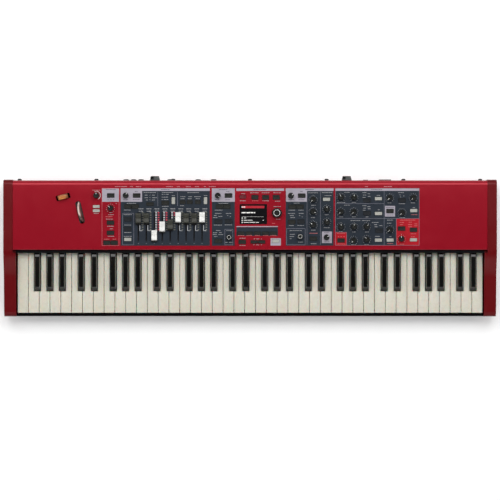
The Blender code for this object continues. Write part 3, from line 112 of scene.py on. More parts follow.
# Keys
WHITE_COUNT = 43
KEY_PITCH = 23.5 * MM
KEY_GAP = 1.0 * MM
KEY_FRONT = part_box("white_keys_low")[0].y
KEY_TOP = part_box("white_keys_low")[1].z
KEY_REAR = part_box("white_keys_low")[1].y
KEY_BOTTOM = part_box("white_keys_low")[0].z
BLACK_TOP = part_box("black_keys_low")[1].z
BLACK_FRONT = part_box("black_keys_low")[0].y
BLACK_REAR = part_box("black_keys_low")[1].y
BLACK_HALF = 6.85 * MM
BLACK_OFFSETS = {"F": -3.5 * MM, "G": 0.0, "A": 3.5 * MM, "C": -2.5 * MM, "D": 2.5 * MM}
# How far in front of the panel's lip the painted highlight on the black keys begins
HIGHLIGHT_AHEAD = 11.1 * MM
LETTERS = "EFGABCD"
SECTION_STARTS = (("low", 0), ("middle", 14), ("high", 28))

# Knobs: pointer angle clockwise from the rear, in degrees; None has no pointer
POINTERS = {
    "master_level_knob": 5, "transpose_knob": -45, "organ_level_knob": 30, "piano_level_knob": 135,
    "piano_type_dial": None, "program_dial": None, "synth_level_knob": 60, "synth_type_dial": None,
    "synth_attack_knob": -135, "synth_decay_knob": 115, "synth_release_knob": -60, "synth_vibrato_knob": 0,
    "synth_timbre_knob": 0, "synth_filter_knob": 60, "tremolo_rate_knob": -20, "tremolo_depth_knob": 0,
    "chorus_rate_knob": -135, "chorus_depth_knob": -135, "amp_drive_knob": 0, "bass_knob": 0,
    "middle_knob": 35, "treble_knob": -135, "presence_knob": -40, "delay_time_knob": -135,
    "delay_level_knob": -135, "delay_feedback_knob": -135, "reverb_level_knob": -135,
    "speaker_speed_knob": -10,
}
BARE_KNOBS = ("piano_type_dial", "program_dial", "synth_type_dial", "master_level_knob")

# Widths and lengths of the push buttons, in millimetres
PAD_SIZES = {
    "wide": (15.8, 9.1), "tall": (15.2, 9.5), "flat": (15.2, 7.0), "low": (14.6, 6.2),
    "upright": (7.2, 15.0), "small": (12.2, 8.0), "short": (13.4, 8.0), "large": (14.7, 9.9),
}
# Buttons: millimetres right of the middle and forward of the panel's rear edge, size, finish
PADS = {
    "organ_buttons": (
        (-332.8, 57.0, "low", "silver"), (-332.8, 66.0, "low", "silver"),
        (-301.4, 33.1, "wide", "dark"), (-302.1, 91.8, "wide", "dark"),
        (-302.1, 113.8, "wide", "dark"), (-309.9, 135.2, "tall", "dark"),
        (-293.8, 135.2, "tall", "dark"), (-245.4, 33.1, "wide", "dark"),
        (-264.7, 56.9, "tall", "dark"), (-248.6, 56.9, "tall", "dark"),
        (-264.9, 84.2, "wide", "slate"), (-264.9, 105.2, "wide", "slate"),
        (-264.7, 128.1, "flat", "silver"), (-216.6, 51.5, "flat", "dark"),
        (-183.5, 49.1, "wide", "dark"), (-166.0, 44.1, "upright", "silver"),
        (-145.9, 47.4, "small", "dark"), (-130.5, 47.4, "small", "dark"),
        (-112.7, 47.4, "small", "dark"), (-96.5, 44.1, "upright", "silver"),
    ),
    "piano_program_buttons": (
        (-46.7, 33.1, "wide", "dark"), (-66.3, 56.9, "tall", "dark"),
        (-50.4, 56.9, "tall", "dark"), (-68.4, 89.6, "wide", "slate"),
        (-46.3, 88.7, "wide", "slate"), (-68.8, 131.4, "wide", "dark"),
        (-15.8, 35.7, "short", "red"), (10.4, 37.0, "large", "dark"),
        (33.5, 37.0, "large", "dark"), (56.5, 37.0, "large", "dark"),
        (-20.1, 114.7, "flat", "dark"), (-2.2, 114.7, "flat", "dark"),
        (15.6, 114.7, "flat", "dark"), (33.1, 114.7, "flat", "dark"),
        (50.4, 114.7, "flat", "dark"), (-17.1, 133.5, "wide", "dark"),
        (8.6, 133.5, "flat", "dark"), (24.8, 133.5, "flat", "dark"),
        (55.6, 131.8, "flat", "silver"),
    ),
    "synth_effects_buttons": (
        (111.7, 33.5, "wide", "dark"), (91.2, 57.3, "wide", "dark"),
        (107.9, 57.3, "wide", "dark"), (90.0, 90.5, "wide", "dark"),
        (109.9, 89.6, "wide", "slate"), (136.8, 126.6, "wide", "dark"),
        (165.3, 41.3, "flat", "silver"), (252.8, 43.5, "wide", "slate"),
        (252.8, 71.4, "wide", "slate"), (277.6, 40.0, "flat", "silver"),
        (277.6, 72.1, "flat", "silver"), (328.7, 43.5, "wide", "slate"),
        (302.7, 66.7, "wide", "dark"), (354.0, 65.8, "flat", "silver"),
        (196.7, 130.3, "wide", "dark"), (278.9, 109.1, "wide", "slate"),
        (277.6, 129.6, "flat", "silver"), (302.9, 129.6, "flat", "silver"),
        (327.8, 104.5, "wide", "dark"), (353.4, 107.3, "wide", "dark"),
        (353.4, 129.0, "flat", "silver"),
    ),
}

# Printed grounds in millimetres: left, right, rear and front edges
SLATE_GROUNDS = (
    (-280.2, -87.0, 17.5, 141.7), (-82.7, -33.1, 17.5, 141.7), (77.0, 180.5, 17.5, 141.7),
    (184.2, 366.1, 17.5, 83.2), (184.2, 316.2, 82.0, 112.2), (209.3, 316.2, 111.0, 141.0),
    (-29.6, 60.2, 101.7, 120.4),
)
RED_GROUNDS = ((184.2, 209.1, 112.4, 141.0), (316.4, 366.1, 83.4, 141.0))
PALE_GROUNDS = (
    (-320.7, -283.3, 17.5, 46.7), (-280.2, -87.0, 17.5, 23.2), (-280.2, -233.7, 23.0, 46.7),
    (-82.7, -33.1, 17.5, 46.7), (-29.9, 73.6, 17.8, 23.2), (77.0, 180.5, 17.5, 23.2),
    (77.7, 123.1, 23.0, 46.5), (184.2, 366.1, 17.5, 23.0), (155.4, 177.0, 111.0, 135.9),
    (291.9, 313.6, 55.6, 78.6), (44.4, 66.4, 125.5, 141.3), (-29.6, 60.2, 99.4, 101.2),
)
# Printed frames, as left, right, rear and front edges, and single lines as x, v, x, v
FRAMES = (
    (-320.4, -283.6, 17.8, 141.4), (-275.9, -251.7, 71.6, 139.8), (-54.7, -37.4, 106.3, 139.8),
    (79.0, 119.2, 104.7, 139.8), (184.5, 365.8, 17.8, 140.8),
)
LINES = (
    (-199.7, 25.8, -199.7, 56.0), (-157.1, 25.8, -157.1, 56.0), (123.1, 24.0, 123.1, 139.5),
    (152.1, 24.0, 152.1, 139.5), (186.8, 50.6, 289.5, 50.6), (186.8, 82.9, 365.5, 82.9),
    (290.0, 24.0, 290.0, 140.5), (316.3, 83.0, 316.3, 140.5), (208.9, 112.4, 208.9, 140.5),
    (186.0, 112.4, 208.9, 112.4),
)
# Short printed dashes in place of words: middle x, v and width
DARK_MARKS = (
    (-301.1, 20.1, 20.7), (-306.9, 42.3, 2.3), (-301.1, 42.3, 2.3), (-295.3, 42.3, 2.3),
    (-183.5, 20.1, 18.2), (-246.4, 24.6, 6.6), (-269.6, 42.3, 9.9), (-246.4, 41.9, 14.9),
    (-58.1, 20.3, 17.7), (-48.4, 24.4, 7.5), (-71.7, 41.7, 10.2), (-49.0, 42.4, 11.2),
    (21.4, 20.3, 27.9), (128.6, 20.3, 18.6), (110.9, 24.4, 5.6), (88.5, 41.7, 11.2),
    (110.9, 42.4, 13.0), (165.8, 113.6, 11.2), (165.8, 133.4, 11.2), (273.6, 20.4, 23.8),
    (302.6, 58.9, 16.6), (302.6, 75.3, 14.5),
)
LIGHT_MARKS = (
    (-301.1, 70.1, 6.6), (-301.1, 74.7, 11.6), (-304.4, 84.2, 14.9), (-301.9, 99.6, 14.1),
    (-300.3, 105.2, 5.8), (-301.1, 121.4, 14.1), (-289.5, 50.6, 2.3), (-217.0, 26.7, 26.5),
    (-224.9, 32.3, 5.8), (-216.6, 32.3, 1.3), (-209.2, 32.3, 5.8), (-224.6, 37.8, 6.6),
    (-216.6, 37.8, 1.3), (-206.7, 37.8, 9.9), (-223.3, 42.8, 4.1), (-216.6, 42.3, 1.3),
    (-209.2, 42.8, 6.6), (-178.6, 26.7, 24.0), (-189.3, 30.7, 3.3), (-184.4, 30.7, 1.7),
    (-178.6, 30.7, 5.0), (-190.1, 36.6, 2.3), (-182.7, 36.6, 9.9), (-190.1, 41.9, 2.3),
    (-181.9, 41.9, 9.9), (-183.5, 56.5, 14.1), (-123.1, 26.7, 24.8), (-145.4, 35.7, 10.8),
    (-129.7, 35.7, 7.5), (-114.0, 35.7, 14.1), (-146.3, 40.0, 8.3), (-130.5, 40.0, 8.3),
    (-113.2, 40.0, 9.1), (-147.1, 55.2, 8.3), (-166.1, 33.3, 6.6), (-96.3, 33.3, 7.5),
    (-256.7, 50.0, 19.9), (-265.5, 64.6, 14.1), (-264.7, 74.5, 18.2), (-264.7, 97.0, 14.9),
    (-264.7, 113.1, 14.9), (-264.7, 121.4, 16.6), (-57.8, 50.0, 20.5), (-68.0, 64.8, 16.8),
    (-68.9, 71.9, 14.0), (-46.6, 71.9, 11.2), (-75.5, 76.5, 5.6), (-64.3, 78.4, 8.4),
    (-75.5, 80.8, 9.3), (-48.4, 76.5, 1.9), (-42.8, 78.8, 1.9), (-69.9, 97.0, 17.7),
    (-47.1, 96.6, 15.8), (-68.9, 108.8, 9.3), (-75.8, 113.4, 9.3), (-64.3, 113.4, 5.6),
    (-76.4, 117.1, 8.4), (-63.3, 117.5, 10.2), (-74.5, 121.6, 7.5), (-45.6, 109.2, 11.2),
    (-51.2, 134.6, 4.7), (-42.3, 134.6, 7.4), (-14.9, 29.0, 8.4), (-15.8, 44.5, 12.1),
    (9.3, 27.2, 17.7), (33.5, 27.2, 16.8), (58.7, 27.2, 16.8), (33.5, 44.5, 14.0),
    (59.6, 45.3, 11.2), (58.7, 57.0, 15.8), (60.6, 84.4, 9.3), (-16.4, 125.5, 13.0),
    (-16.4, 141.0, 13.0), (9.3, 127.0, 1.9), (16.4, 127.0, 6.5), (24.6, 127.0, 1.9),
    (8.4, 139.8, 1.9), (16.4, 139.8, 6.5), (24.6, 139.8, 1.9), (136.0, 27.2, 21.4),
    (166.8, 26.8, 22.4), (168.6, 33.3, 14.9), (100.6, 49.5, 13.0), (90.4, 64.8, 14.0),
    (109.9, 64.8, 11.2), (89.4, 71.9, 14.9), (110.5, 71.9, 10.2), (90.4, 76.5, 8.4),
    (92.2, 80.8, 9.3), (107.1, 76.5, 1.9), (112.7, 79.3, 1.9), (89.4, 98.0, 10.2),
    (109.4, 98.0, 14.0), (98.7, 109.1, 26.1), (91.3, 117.1, 10.2), (90.4, 121.8, 9.3),
    (87.6, 126.5, 3.7), (109.0, 133.9, 10.2), (136.9, 54.4, 9.3), (136.0, 80.9, 9.3),
    (136.9, 108.0, 9.3), (165.4, 74.8, 8.4), (165.8, 102.8, 13.0), (137.3, 137.4, 12.1),
    (209.4, 26.2, 11.4), (247.3, 26.8, 8.3), (257.0, 29.3, 5.2), (247.7, 32.2, 7.2),
    (257.6, 34.9, 5.2), (246.7, 37.0, 6.2), (277.7, 32.8, 7.2), (326.4, 26.8, 12.4),
    (324.3, 31.8, 2.1), (325.7, 36.2, 2.1), (332.6, 34.1, 2.1), (328.4, 50.9, 13.5),
    (197.0, 48.0, 17.6), (224.5, 48.0, 9.3), (209.4, 54.0, 12.4), (197.0, 79.4, 8.3),
    (224.5, 79.4, 8.3), (247.3, 55.2, 8.3), (257.0, 57.3, 6.2), (247.7, 60.4, 6.2),
    (257.6, 61.8, 6.2), (246.7, 64.9, 6.2), (278.3, 63.9, 4.1), (252.9, 79.4, 6.2),
    (301.5, 49.0, 8.3), (352.2, 49.0, 9.3), (354.3, 59.3, 5.2), (329.1, 81.0, 11.4),
    (228.0, 87.4, 20.7), (250.8, 87.4, 17.6), (270.5, 91.4, 14.5), (271.5, 96.2, 6.2),
    (282.9, 98.3, 6.2), (272.5, 100.8, 6.2), (-332.8, 71.9, 11.0), (195.9, 111.0, 7.2), (224.5, 112.0, 7.2),
    (252.5, 112.0, 8.3), (275.7, 121.5, 10.4), (303.6, 122.1, 4.1), (302.6, 86.3, 12.4),
    (300.9, 93.0, 9.3), (223.9, 139.2, 10.4), (251.8, 139.2, 9.3),
)
WARM_MARKS = (
    (-305.2, 78.9, 14.9), (-310.2, 127.6, 11.6), (-293.6, 127.6, 7.5), (11.2, 44.5, 13.0),
    (50.7, 93.4, 6.5), (-19.6, 119.6, 14.0), (-1.9, 119.6, 11.2), (15.8, 119.6, 11.2),
    (33.5, 119.6, 11.2), (50.3, 119.6, 13.0), (137.3, 114.8, 17.7), (355.4, 74.5, 12.4),
    (303.0, 137.0, 12.4), (340.9, 86.3, 33.1), (328.4, 91.4, 9.3), (327.4, 96.2, 6.2),
    (346.5, 90.8, 7.2), (358.5, 94.5, 6.2), (346.0, 96.2, 8.3), (358.5, 98.7, 6.2),
    (346.0, 100.8, 7.2), (353.3, 115.9, 11.4), (352.2, 122.1, 8.3), (328.4, 138.4, 9.3),
    (197.0, 115.0, 17.6), (191.2, 122.0, 2.5), (197.0, 122.0, 2.5), (203.2, 122.0, 2.5),
    (197.6, 138.0, 15.5),
)
REAR_MARKS = (
    (-279.6, 13.8, 26.0), (-256.9, 13.8, 6.5), (-241.2, 13.8, 11.9), (-174.6, 13.8, 15.1),
    (-155.2, 13.8, 6.5), (-133.5, 13.8, 10.8), (-115.1, 13.8, 8.7), (-97.8, 13.8, 4.3),
    (-81.6, 13.8, 15.1), (251.7, 13.8, 6.5), (298.2, 13.8, 17.3), (-332.8, 21.5, 17.0),
)
MARK_HEIGHT = 1.0

# Faders and their columns of lamps, in millimetres
FADER_COUNT = 9
FADER_FIRST = -241.7
FADER_PITCH = 17.23
FADER_STOP = 80.5
FADER_TRAVEL = 40.0
CAP_LENGTH = 22.5
WHITE_FADERS = (2, 3, 5, 8)
LAMP_SHIFT = 9.2
LAMP_FIRST = 70.4
LAMP_PITCH = 5.2
LAMP_COUNT = 8
LIT_LAMPS = {2: 8, 3: 4, 4: 2}
SCALE_SHIFT = 3.1

# Camera: millimetres that one pixel of the photograph covers at the panel, and its place
PHOTO_SCALE = 2.1635
PHOTO_WIDTH = 500
CAMERA_PLACE = (-0.2 * MM, -8.0 * MM)

# Display
DISPLAY_X = 6.9
DISPLAY_V = 73.5
DISPLAY_WIDTH = 59.0
DISPLAY_LENGTH = 43.0
# Lit marks: middle x, v, width and height
DISPLAY_BAR = ((6.4, 58.0, 49.0, 5.2),)
DISPLAY_TITLE = (
    (-17.0, 58.0, 2.2, 2.2), (-12.6, 58.0, 4.2, 1.8), (-14.0, 70.2, 9.0, 2.2),
    (-4.2, 70.2, 7.5, 2.2), (4.0, 70.2, 6.0, 2.2), (9.6, 70.2, 2.6, 2.2),
)
DISPLAY_ROWS = (
    (5.5, 79.0, 47.0, 0.4), (-17.0, 81.8, 2.4, 2.4), (-17.0, 86.6, 2.4, 2.4), (-17.0, 91.2, 2.4, 2.4),
    (-11.0, 81.8, 4.5, 1.4), (-9.5, 86.6, 8.0, 1.4), (0.5, 86.6, 10.0, 1.4), (-8.0, 91.2, 11.0, 1.4),
    (5.0, 91.2, 12.5, 1.4), (16.0, 91.2, 6.5, 1.4), (28.5, 86.6, 2.2, 1.4),
)

# Rear hardware, in millimetres
JACKS = (-270.3, -254.0, -237.6, -174.4, -113.2, -79.5)
ROUND_SOCKETS = (-155.4, -134.2)
SQUARE_SOCKET = -96.6
INLET_X = 293.9
SWITCH_X = 251.5
STAND_BRACKETS = (-206.4, 209.5)
BRACKET_LOW = 59.0 * MM
BRACKET_HIGH = 72.0 * MM
BRACKET_HOLE = 3.25 * MM
BRACKET_HOLE_Y = 147.75 * MM
SCREW_HEIGHT = 64.0 * MM
REAR_SCREWS = (-500.0, -333.4, -166.8, -0.2, 166.2, 332.7, 499.3)

# Pitch stick and wheel
STICK_PLACE = (-404.6, 36.1)
STICK_TURN = 15.0
STICK_PIVOT_HEIGHT = 60.0 * MM
WHEEL_PLACE = (-367.9, 69.6)
WHEEL_TURN = 13.3
WHEEL_LEAN = 20.0
WHEEL_RADIUS = 26.5 * MM
WHEEL_HALF = 3.0 * MM


def size_property(name, description, default, low, high):
    return FloatProperty(
        name=name, description=description, default=default, min=low, max=high, unit="LENGTH",
    )


def colour_property(name, description, default):
    return FloatVectorProperty(
        name=name, description=description, subtype="COLOR", size=3, default=default, min=0.0, max=1.0,
    )


class KeyboardSizes(bpy.types.PropertyGroup):
    """Sizes of the finished pieces"""

    key_edge: size_property("Key edge", "Rounding along the edges of the white keys", 0.0007, 0.0001, 0.002)
    black_edge: size_property(
        "Black key edge", "Rounding along the edges of the black keys", 0.0011, 0.0001, 0.002)
    knob_grooves: IntProperty(
        name="Knob grooves", description="Grip grooves round each knob", default=18, min=6, max=40,
    )
    cheek_edge: size_property(
        "Cheek edge", "Rounding of the outer edge of the end cheeks", 0.0075, 0.0005, 0.008)
    ink: size_property("Ink", "Thickness of the printed layers on the panel", 0.00008, 0.00002, 0.0003)
    camera_height: size_property("Camera height", "How far the camera stands above the table", 6.0, 1.0, 20.0)


class KeyboardColours(bpy.types.PropertyGroup):
    """Colours of the finished pieces"""

    panel: colour_property("Panel", "Paint of the control panel", (0.305, 0.0062, 0.017))
    cheeks: colour_property("Cheeks", "Lacquer of the end cheeks", (0.115, 0.0010, 0.0030))
    white_keys: colour_property("White keys", "Plastic of the white keys", (0.614, 0.59, 0.506))
    black_keys: colour_property("Black keys", "Plastic of the black keys", (0.0028, 0.0025, 0.0022))
    sections: colour_property("Sections", "Ink of the dark control sections", (0.019, 0.0255, 0.036))
    headers: colour_property("Headers", "Ink of the pale headers", (0.336, 0.308, 0.359))


class KeyboardSettings(bpy.types.PropertyGroup):
    """Everything that a user would change"""

    sizes: PointerProperty(type=KeyboardSizes)
    colours: PointerProperty(type=KeyboardColours)


# Shapes

def at_panel(x, v):
    """X and Y in metres of a place on the panel, from millimetres."""
    return x * MM, PANEL_REAR - v * MM


def arc(across, up, radius, start, end, steps):
    """Points of an arc in a flat outline, angles in degrees."""
    turn = [math.radians(start + (end - start) * i / steps) for i in range(steps + 1)]
    return [(across + radius * math.cos(a), up + radius * math.sin(a)) for a in turn]


def keep_mesh(work, name, smooth=35.0):
    """A bmesh as a mesh, smooth shaded up to an angle."""
    mesh = bpy.data.meshes.new(name)
    bmesh.ops.recalc_face_normals(work, faces=work.faces)
    work.to_mesh(mesh)
    work.free()
    mesh.shade_smooth()
    mesh.set_sharp_from_angle(angle=math.radians(smooth))
    return mesh


def add_prism(work, outline, low, high, matrix=None):
    """A flat outline raised from low to high, with n-sided ends."""
    matrix = matrix or Matrix.Identity(4)
    lower = [work.verts.new(matrix @ Vector((x, y, low))) for x, y in outline]
    upper = [work.verts.new(matrix @ Vector((x, y, high))) for x, y in outline]
    work.faces.new(lower[::-1])
    work.faces.new(upper)
    for i in range(len(outline)):
        j = (i + 1) % len(outline)
        work.faces.new((lower[i], lower[j], upper[j], upper[i]))


def prism(outline, low, high, name="prism", matrix=None):
    work = bmesh.new()
    add_prism(work, outline, low, high, matrix)
    return keep_mesh(work, name)


# Turns an outline of Y and Z into a solid along X
ALONG_X = Matrix(((0, 0, 1, 0), (1, 0, 0, 0), (0, 1, 0, 0), (0, 0, 0, 1)))


def side_prism(outline, low, high, name="profile"):
    """An outline in Y and Z drawn out along X."""
    return prism(outline, low, high, name, ALONG_X)


def add_block(work, low, high):
    made = bmesh.ops.create_cube(work, size=1.0)["verts"]
    low, high = Vector(low), Vector(high)
    bmesh.ops.scale(work, vec=high - low, verts=made)
    bmesh.ops.translate(work, vec=(low + high) / 2, verts=made)
    return made


def block(low, high, name="block"):
    work = bmesh.new()
    add_block(work, low, high)
    return keep_mesh(work, name)


def round_rectangle(x, y, width, length, corner, steps=4):
    """Outline of a rectangle with round corners."""
    across, along = width / 2 - corner, length / 2 - corner
    points = []
    for sx, sy, start in ((1, 1, 0), (-1, 1, 90), (-1, -1, 180), (1, -1, 270)):
        points += arc(x + sx * across, y + sy * along, corner, start, start + 90, steps)
    return points


def add_rings(work, rings, matrix=None):
    """Rings of points with equal counts joined into one skin, its ends closed."""
    matrix = matrix or Matrix.Identity(4)
    rows = [[work.verts.new(matrix @ Vector(p)) for p in ring] for ring in rings]
    faces = [work.faces.new(rows[0][::-1]), work.faces.new(rows[-1])]
    for lower, upper in zip(rows, rows[1:]):
        for i in range(len(lower)):
            j = (i + 1) % len(lower)
            faces.append(work.faces.new((lower[i], lower[j], upper[j], upper[i])))
    for face in faces:
        face.smooth = True


def add_turned(work, profile, steps, matrix=None):
    """A turned solid about Z from radii and heights, first and last rings closed."""
    rings = []
    for radius, up in profile:
        turn = [math.tau * i / steps for i in range(steps)]
        rings.append([(radius * math.cos(a), radius * math.sin(a), up) for a in turn])
    add_rings(work, rings, matrix)


def turned(profile, steps, name, matrix=None):
    work = bmesh.new()
    add_turned(work, profile, steps, matrix)
    return keep_mesh(work, name)


def rod(radius, low, high, steps, matrix=None, name="bore"):
    return turned([(radius, low), (radius, high)], steps, name, matrix)


def joined(meshes, name="group"):
    work = bmesh.new()
    for mesh in meshes:
        work.from_mesh(mesh)
        bpy.data.meshes.remove(mesh)
    return keep_mesh(work, name)


def carved(mesh, steps=(), edge=0.0, segments=3, angle=30.0, smooth=35.0):
    """A mesh after Boolean steps with other solids and a rounding of its edges."""
    body = bpy.data.objects.new("body", mesh)
    bpy.context.scene.collection.objects.link(body)
    tools = []
    for operation, tool in steps:
        held = bpy.data.objects.new("tool", tool)
        bpy.context.scene.collection.objects.link(held)
        modifier = body.modifiers.new(operation.title(), "BOOLEAN")
        modifier.operation = operation
        modifier.solver = "EXACT"
        modifier.object = held
        tools.append(held)
    if edge:
        bevel = body.modifiers.new("Edge", "BEVEL")
        bevel.width = edge
        bevel.segments = segments
        bevel.limit_method = "ANGLE"
        bevel.angle_limit = math.radians(angle)
        bevel.use_clamp_overlap = True
    graph = bpy.context.evaluated_depsgraph_get()
    result = bpy.data.meshes.new_from_object(body.evaluated_get(graph))
    result.name = mesh.name
    for held in tools + [body]:
        bpy.data.objects.remove(held)
    result.shade_smooth()
    result.set_sharp_from_angle(angle=math.radians(smooth))
    return result


def add_piece(name, mesh, body, finish, replaced=(), place=None):
    """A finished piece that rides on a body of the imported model."""
    piece = bpy.data.objects.new(name, mesh)
    bpy.context.scene.collection.objects.link(piece)
    if place is not None:
        piece.matrix_world = place
    mesh.materials.append(finish)
    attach(piece, body)
    if replaced:
        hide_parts(*replaced)
    return piece


def dress(node, finish):
    """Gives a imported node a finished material."""
    target = frame["nodes"][node]
    for place in target.material_slots:
        place.material = finish


# Finishes

def base_finish(name, colour, roughness, metallic=0.0, specular=0.3):
    """A material with its plain values on the shader itself."""
    made = bpy.data.materials.new(name)
    made.use_nodes = True
    shader = made.node_tree.nodes["Principled BSDF"]
    shader.inputs["Base Color"].default_value = (*colour, 1.0)
    shader.inputs["Roughness"].default_value = roughness
    shader.inputs["Metallic"].default_value = metallic
    shader.inputs["Specular IOR Level"].default_value = specular
    made.diffuse_color = (*colour, 1.0)
    return made


def tune(finish, values):
    """Sets plain inputs of the shader."""
    for name, value in values.items():
        finish.node_tree.nodes["Principled BSDF"].inputs[name].default_value = value


def feed(finish, name, value):
    """Links a value into an input of the shader."""
    finish.node_tree.links.new(value, finish.node_tree.nodes["Principled BSDF"].inputs[name])


def fill_inputs(tree, inputs, values):
    """Gives a node's inputs their numbers, or links them to sockets."""
    for place, value in zip(inputs, values):
        if isinstance(value, bpy.types.NodeSocket):
            tree.links.new(value, place)
        else:
            place.default_value = value


def add_math(tree, operation, *values):
    """A sum on sockets and numbers."""
    node = tree.nodes.new("ShaderNodeMath")
    node.operation = operation
    fill_inputs(tree, node.inputs, values)
    return node.outputs["Value"]


def place_node(finish):
    """The object coordinates of a finish, made once."""
    tree = finish.node_tree
    found = tree.nodes.get("Place")
    if found is None:
        found = tree.nodes.new("ShaderNodeTexCoord")
        found.name = "Place"
    return found.outputs["Object"]


def place_axes(finish):
    """X, Y and Z of the place in the object."""
    split = finish.node_tree.nodes.new("ShaderNodeSeparateXYZ")
    finish.node_tree.links.new(place_node(finish), split.inputs["Vector"])
    return split.outputs


def add_noise(finish, scale, detail=3.0, stretch=None):
    """Noise over the object, with its scale in features per metre."""
    tree = finish.node_tree
    noise = tree.nodes.new("ShaderNodeTexNoise")
    noise.inputs["Scale"].default_value = scale
    noise.inputs["Detail"].default_value = detail
    source = place_node(finish)
    if stretch:
        mapping = tree.nodes.new("ShaderNodeMapping")
        mapping.inputs["Scale"].default_value = stretch
        tree.links.new(source, mapping.inputs["Vector"])
        source = mapping.outputs["Vector"]
    tree.links.new(source, noise.inputs["Vector"])
    return noise.outputs["Fac"]


def ease(owner, value, low, high, out_low, out_high):
    """Maps a value's range onto another, in a finish or a world."""
    node = owner.node_tree.nodes.new("ShaderNodeMapRange")
    fill_inputs(owner.node_tree, node.inputs, (value, low, high, out_low, out_high))
    return node.outputs["Result"]


def blend_colours(finish, share, first, second):
    """Mixes two colours, or a colour over what comes before, by a share."""
    tree = finish.node_tree
    mix = tree.nodes.new("ShaderNodeMix")
    mix.data_type = "RGBA"
    tree.links.new(share, mix.inputs["Factor"])
    for socket, colour in (("A", first), ("B", second)):
        place = [s for s in mix.inputs if s.name == socket and s.type == "RGBA"][0]
        if isinstance(colour, bpy.types.NodeSocket):
            tree.links.new(colour, place)
        else:
            place.default_value = (*colour, 1.0)
    return [s for s in mix.outputs if s.type == "RGBA"][0]


def paint_colour(finish, colour):
    feed(finish, "Base Color", colour)


def drift_colour(finish, colour, spread, scale):
    """A slow drift between slightly darker and slightly lighter."""
    dark = [c * (1 - spread) for c in colour]
    light = [min(c * (1 + spread), 1.0) for c in colour]
    share = ease(finish, add_noise(finish, scale), 0.35, 0.65, 0.0, 1.0)
    made = blend_colours(finish, share, dark, light)
    paint_colour(finish, made)
    return made


def drift_gloss(finish, low, high, scale):
    feed(finish, "Roughness", ease(finish, add_noise(finish, scale), 0.3, 0.7, low, high))


def add_relief(finish, height, depth, strength=1.0):
    """Small height differences in the surface, their depth in metres."""
    tree = finish.node_tree
    bump = tree.nodes.new("ShaderNodeBump")
    bump.inputs["Distance"].default_value = depth
    bump.inputs["Strength"].default_value = strength
    tree.links.new(height, bump.inputs["Height"])
    feed(finish, "Normal", bump.outputs["Normal"])


def moulded(name, colour, roughness, grain=2500.0, depth=0.00003, spread=0.08, specular=0.3):
    """Moulded plastic, rubber or ink: fine grain, uneven gloss and a slow drift of its colour."""
    finish = base_finish(name, colour, roughness, 0.0, specular)
    drift_colour(finish, colour, spread, 60.0)
    drift_gloss(finish, roughness * 0.88, min(roughness * 1.12, 1.0), 180.0)
    add_relief(finish, add_noise(finish, grain, 2.0), depth)
    return finish


def lacquer(name, colour, roughness, metallic, spread):
    """Sprayed paint: faint metal flakes, orange peel and a clear coat."""
    finish = base_finish(name, colour, roughness, metallic, 0.25)
    tune(finish, {"Coat Weight": 0.05, "Coat Roughness": 0.15})
    drift = drift_colour(finish, colour, spread, 14.0)
    flakes = ease(finish, add_noise(finish, 5200.0, 1.0), 0.62, 0.72, 0.0, 0.08)
    bright = [min(c * 1.6 + 0.012, 1.0) for c in colour]
    paint_colour(finish, blend_colours(finish, flakes, drift, bright))
    drift_gloss(finish, roughness * 0.9, roughness * 1.15, 45.0)
    add_relief(finish, add_noise(finish, 420.0, 2.0), 0.00003, 0.3)
    return finish


def key_plastic(name, colour, roughness, tone):
    """Key plastic: a small step in tone from key to key, polished tops and fine grain."""
    finish = base_finish(name, colour, roughness)
    tree = finish.node_tree
    shift = add_math(tree, "ADD", place_axes(finish)["X"], WHITE_COUNT * KEY_PITCH / 2 + KEY_PITCH)
    chance = tree.nodes.new("ShaderNodeTexWhiteNoise")
    chance.noise_dimensions = "1D"
    tree.links.new(add_math(tree, "SNAP", shift, KEY_PITCH), chance.inputs["W"])
    dimmer = (colour[0] * (1 - tone), colour[1] * (1 - tone), colour[2] * (1 - tone * 1.5))
    by_key = blend_colours(finish, chance.outputs["Value"], dimmer, colour[:])
    soil = ease(finish, add_noise(finish, 25.0), 0.55, 0.8, 0.0, 0.4)
    dull = [c * (1 - tone) for c in colour]
    paint_colour(finish, blend_colours(finish, soil, by_key, dull))
    drift_gloss(finish, roughness * 0.85, roughness * 1.2, 140.0)
    add_relief(finish, add_noise(finish, 3200.0, 2.0), 0.00002)
    return finish


def brushed(name, colour, roughness, along):
    """Metal with fine brush lines along one axis, 0 for X, 1 for Y or 2 for Z."""
    finish = base_finish(name, colour, roughness, 1.0)
    stretch = [40.0, 40.0, 40.0]
    stretch[along] = 1.0
    lines = add_noise(finish, 60.0, 4.0, stretch)
    value = ease(finish, lines, 0.3, 0.7, roughness * 0.8, roughness * 1.25)
    feed(finish, "Roughness", value)
    paint_colour(finish, blend_colours(finish, lines, [c * 0.88 for c in colour], colour))
    add_relief(finish, lines, 0.00002)
    return finish


def two_zones(name, axis, level, below, above, rough_below, rough_above):
    """One finish up to a height or depth in the object, another past it."""
    finish = base_finish(name, below, rough_below)
    along, edge = place_axes(finish)[axis], 0.01 * MM
    share = ease(finish, along, level - edge, level + edge, 0.0, 1.0)
    noise = add_noise(finish, 900.0)
    first = blend_colours(finish, noise, [c * 0.8 for c in below], below)
    second = blend_colours(finish, noise, [c * 0.8 for c in above], above)
    paint_colour(finish, blend_colours(finish, share, first, second))
    gloss = ease(finish, along, level - edge, level + edge, rough_below, rough_above)
    feed(finish, "Roughness", gloss)
    add_relief(finish, noise, 0.00003)
    return finish


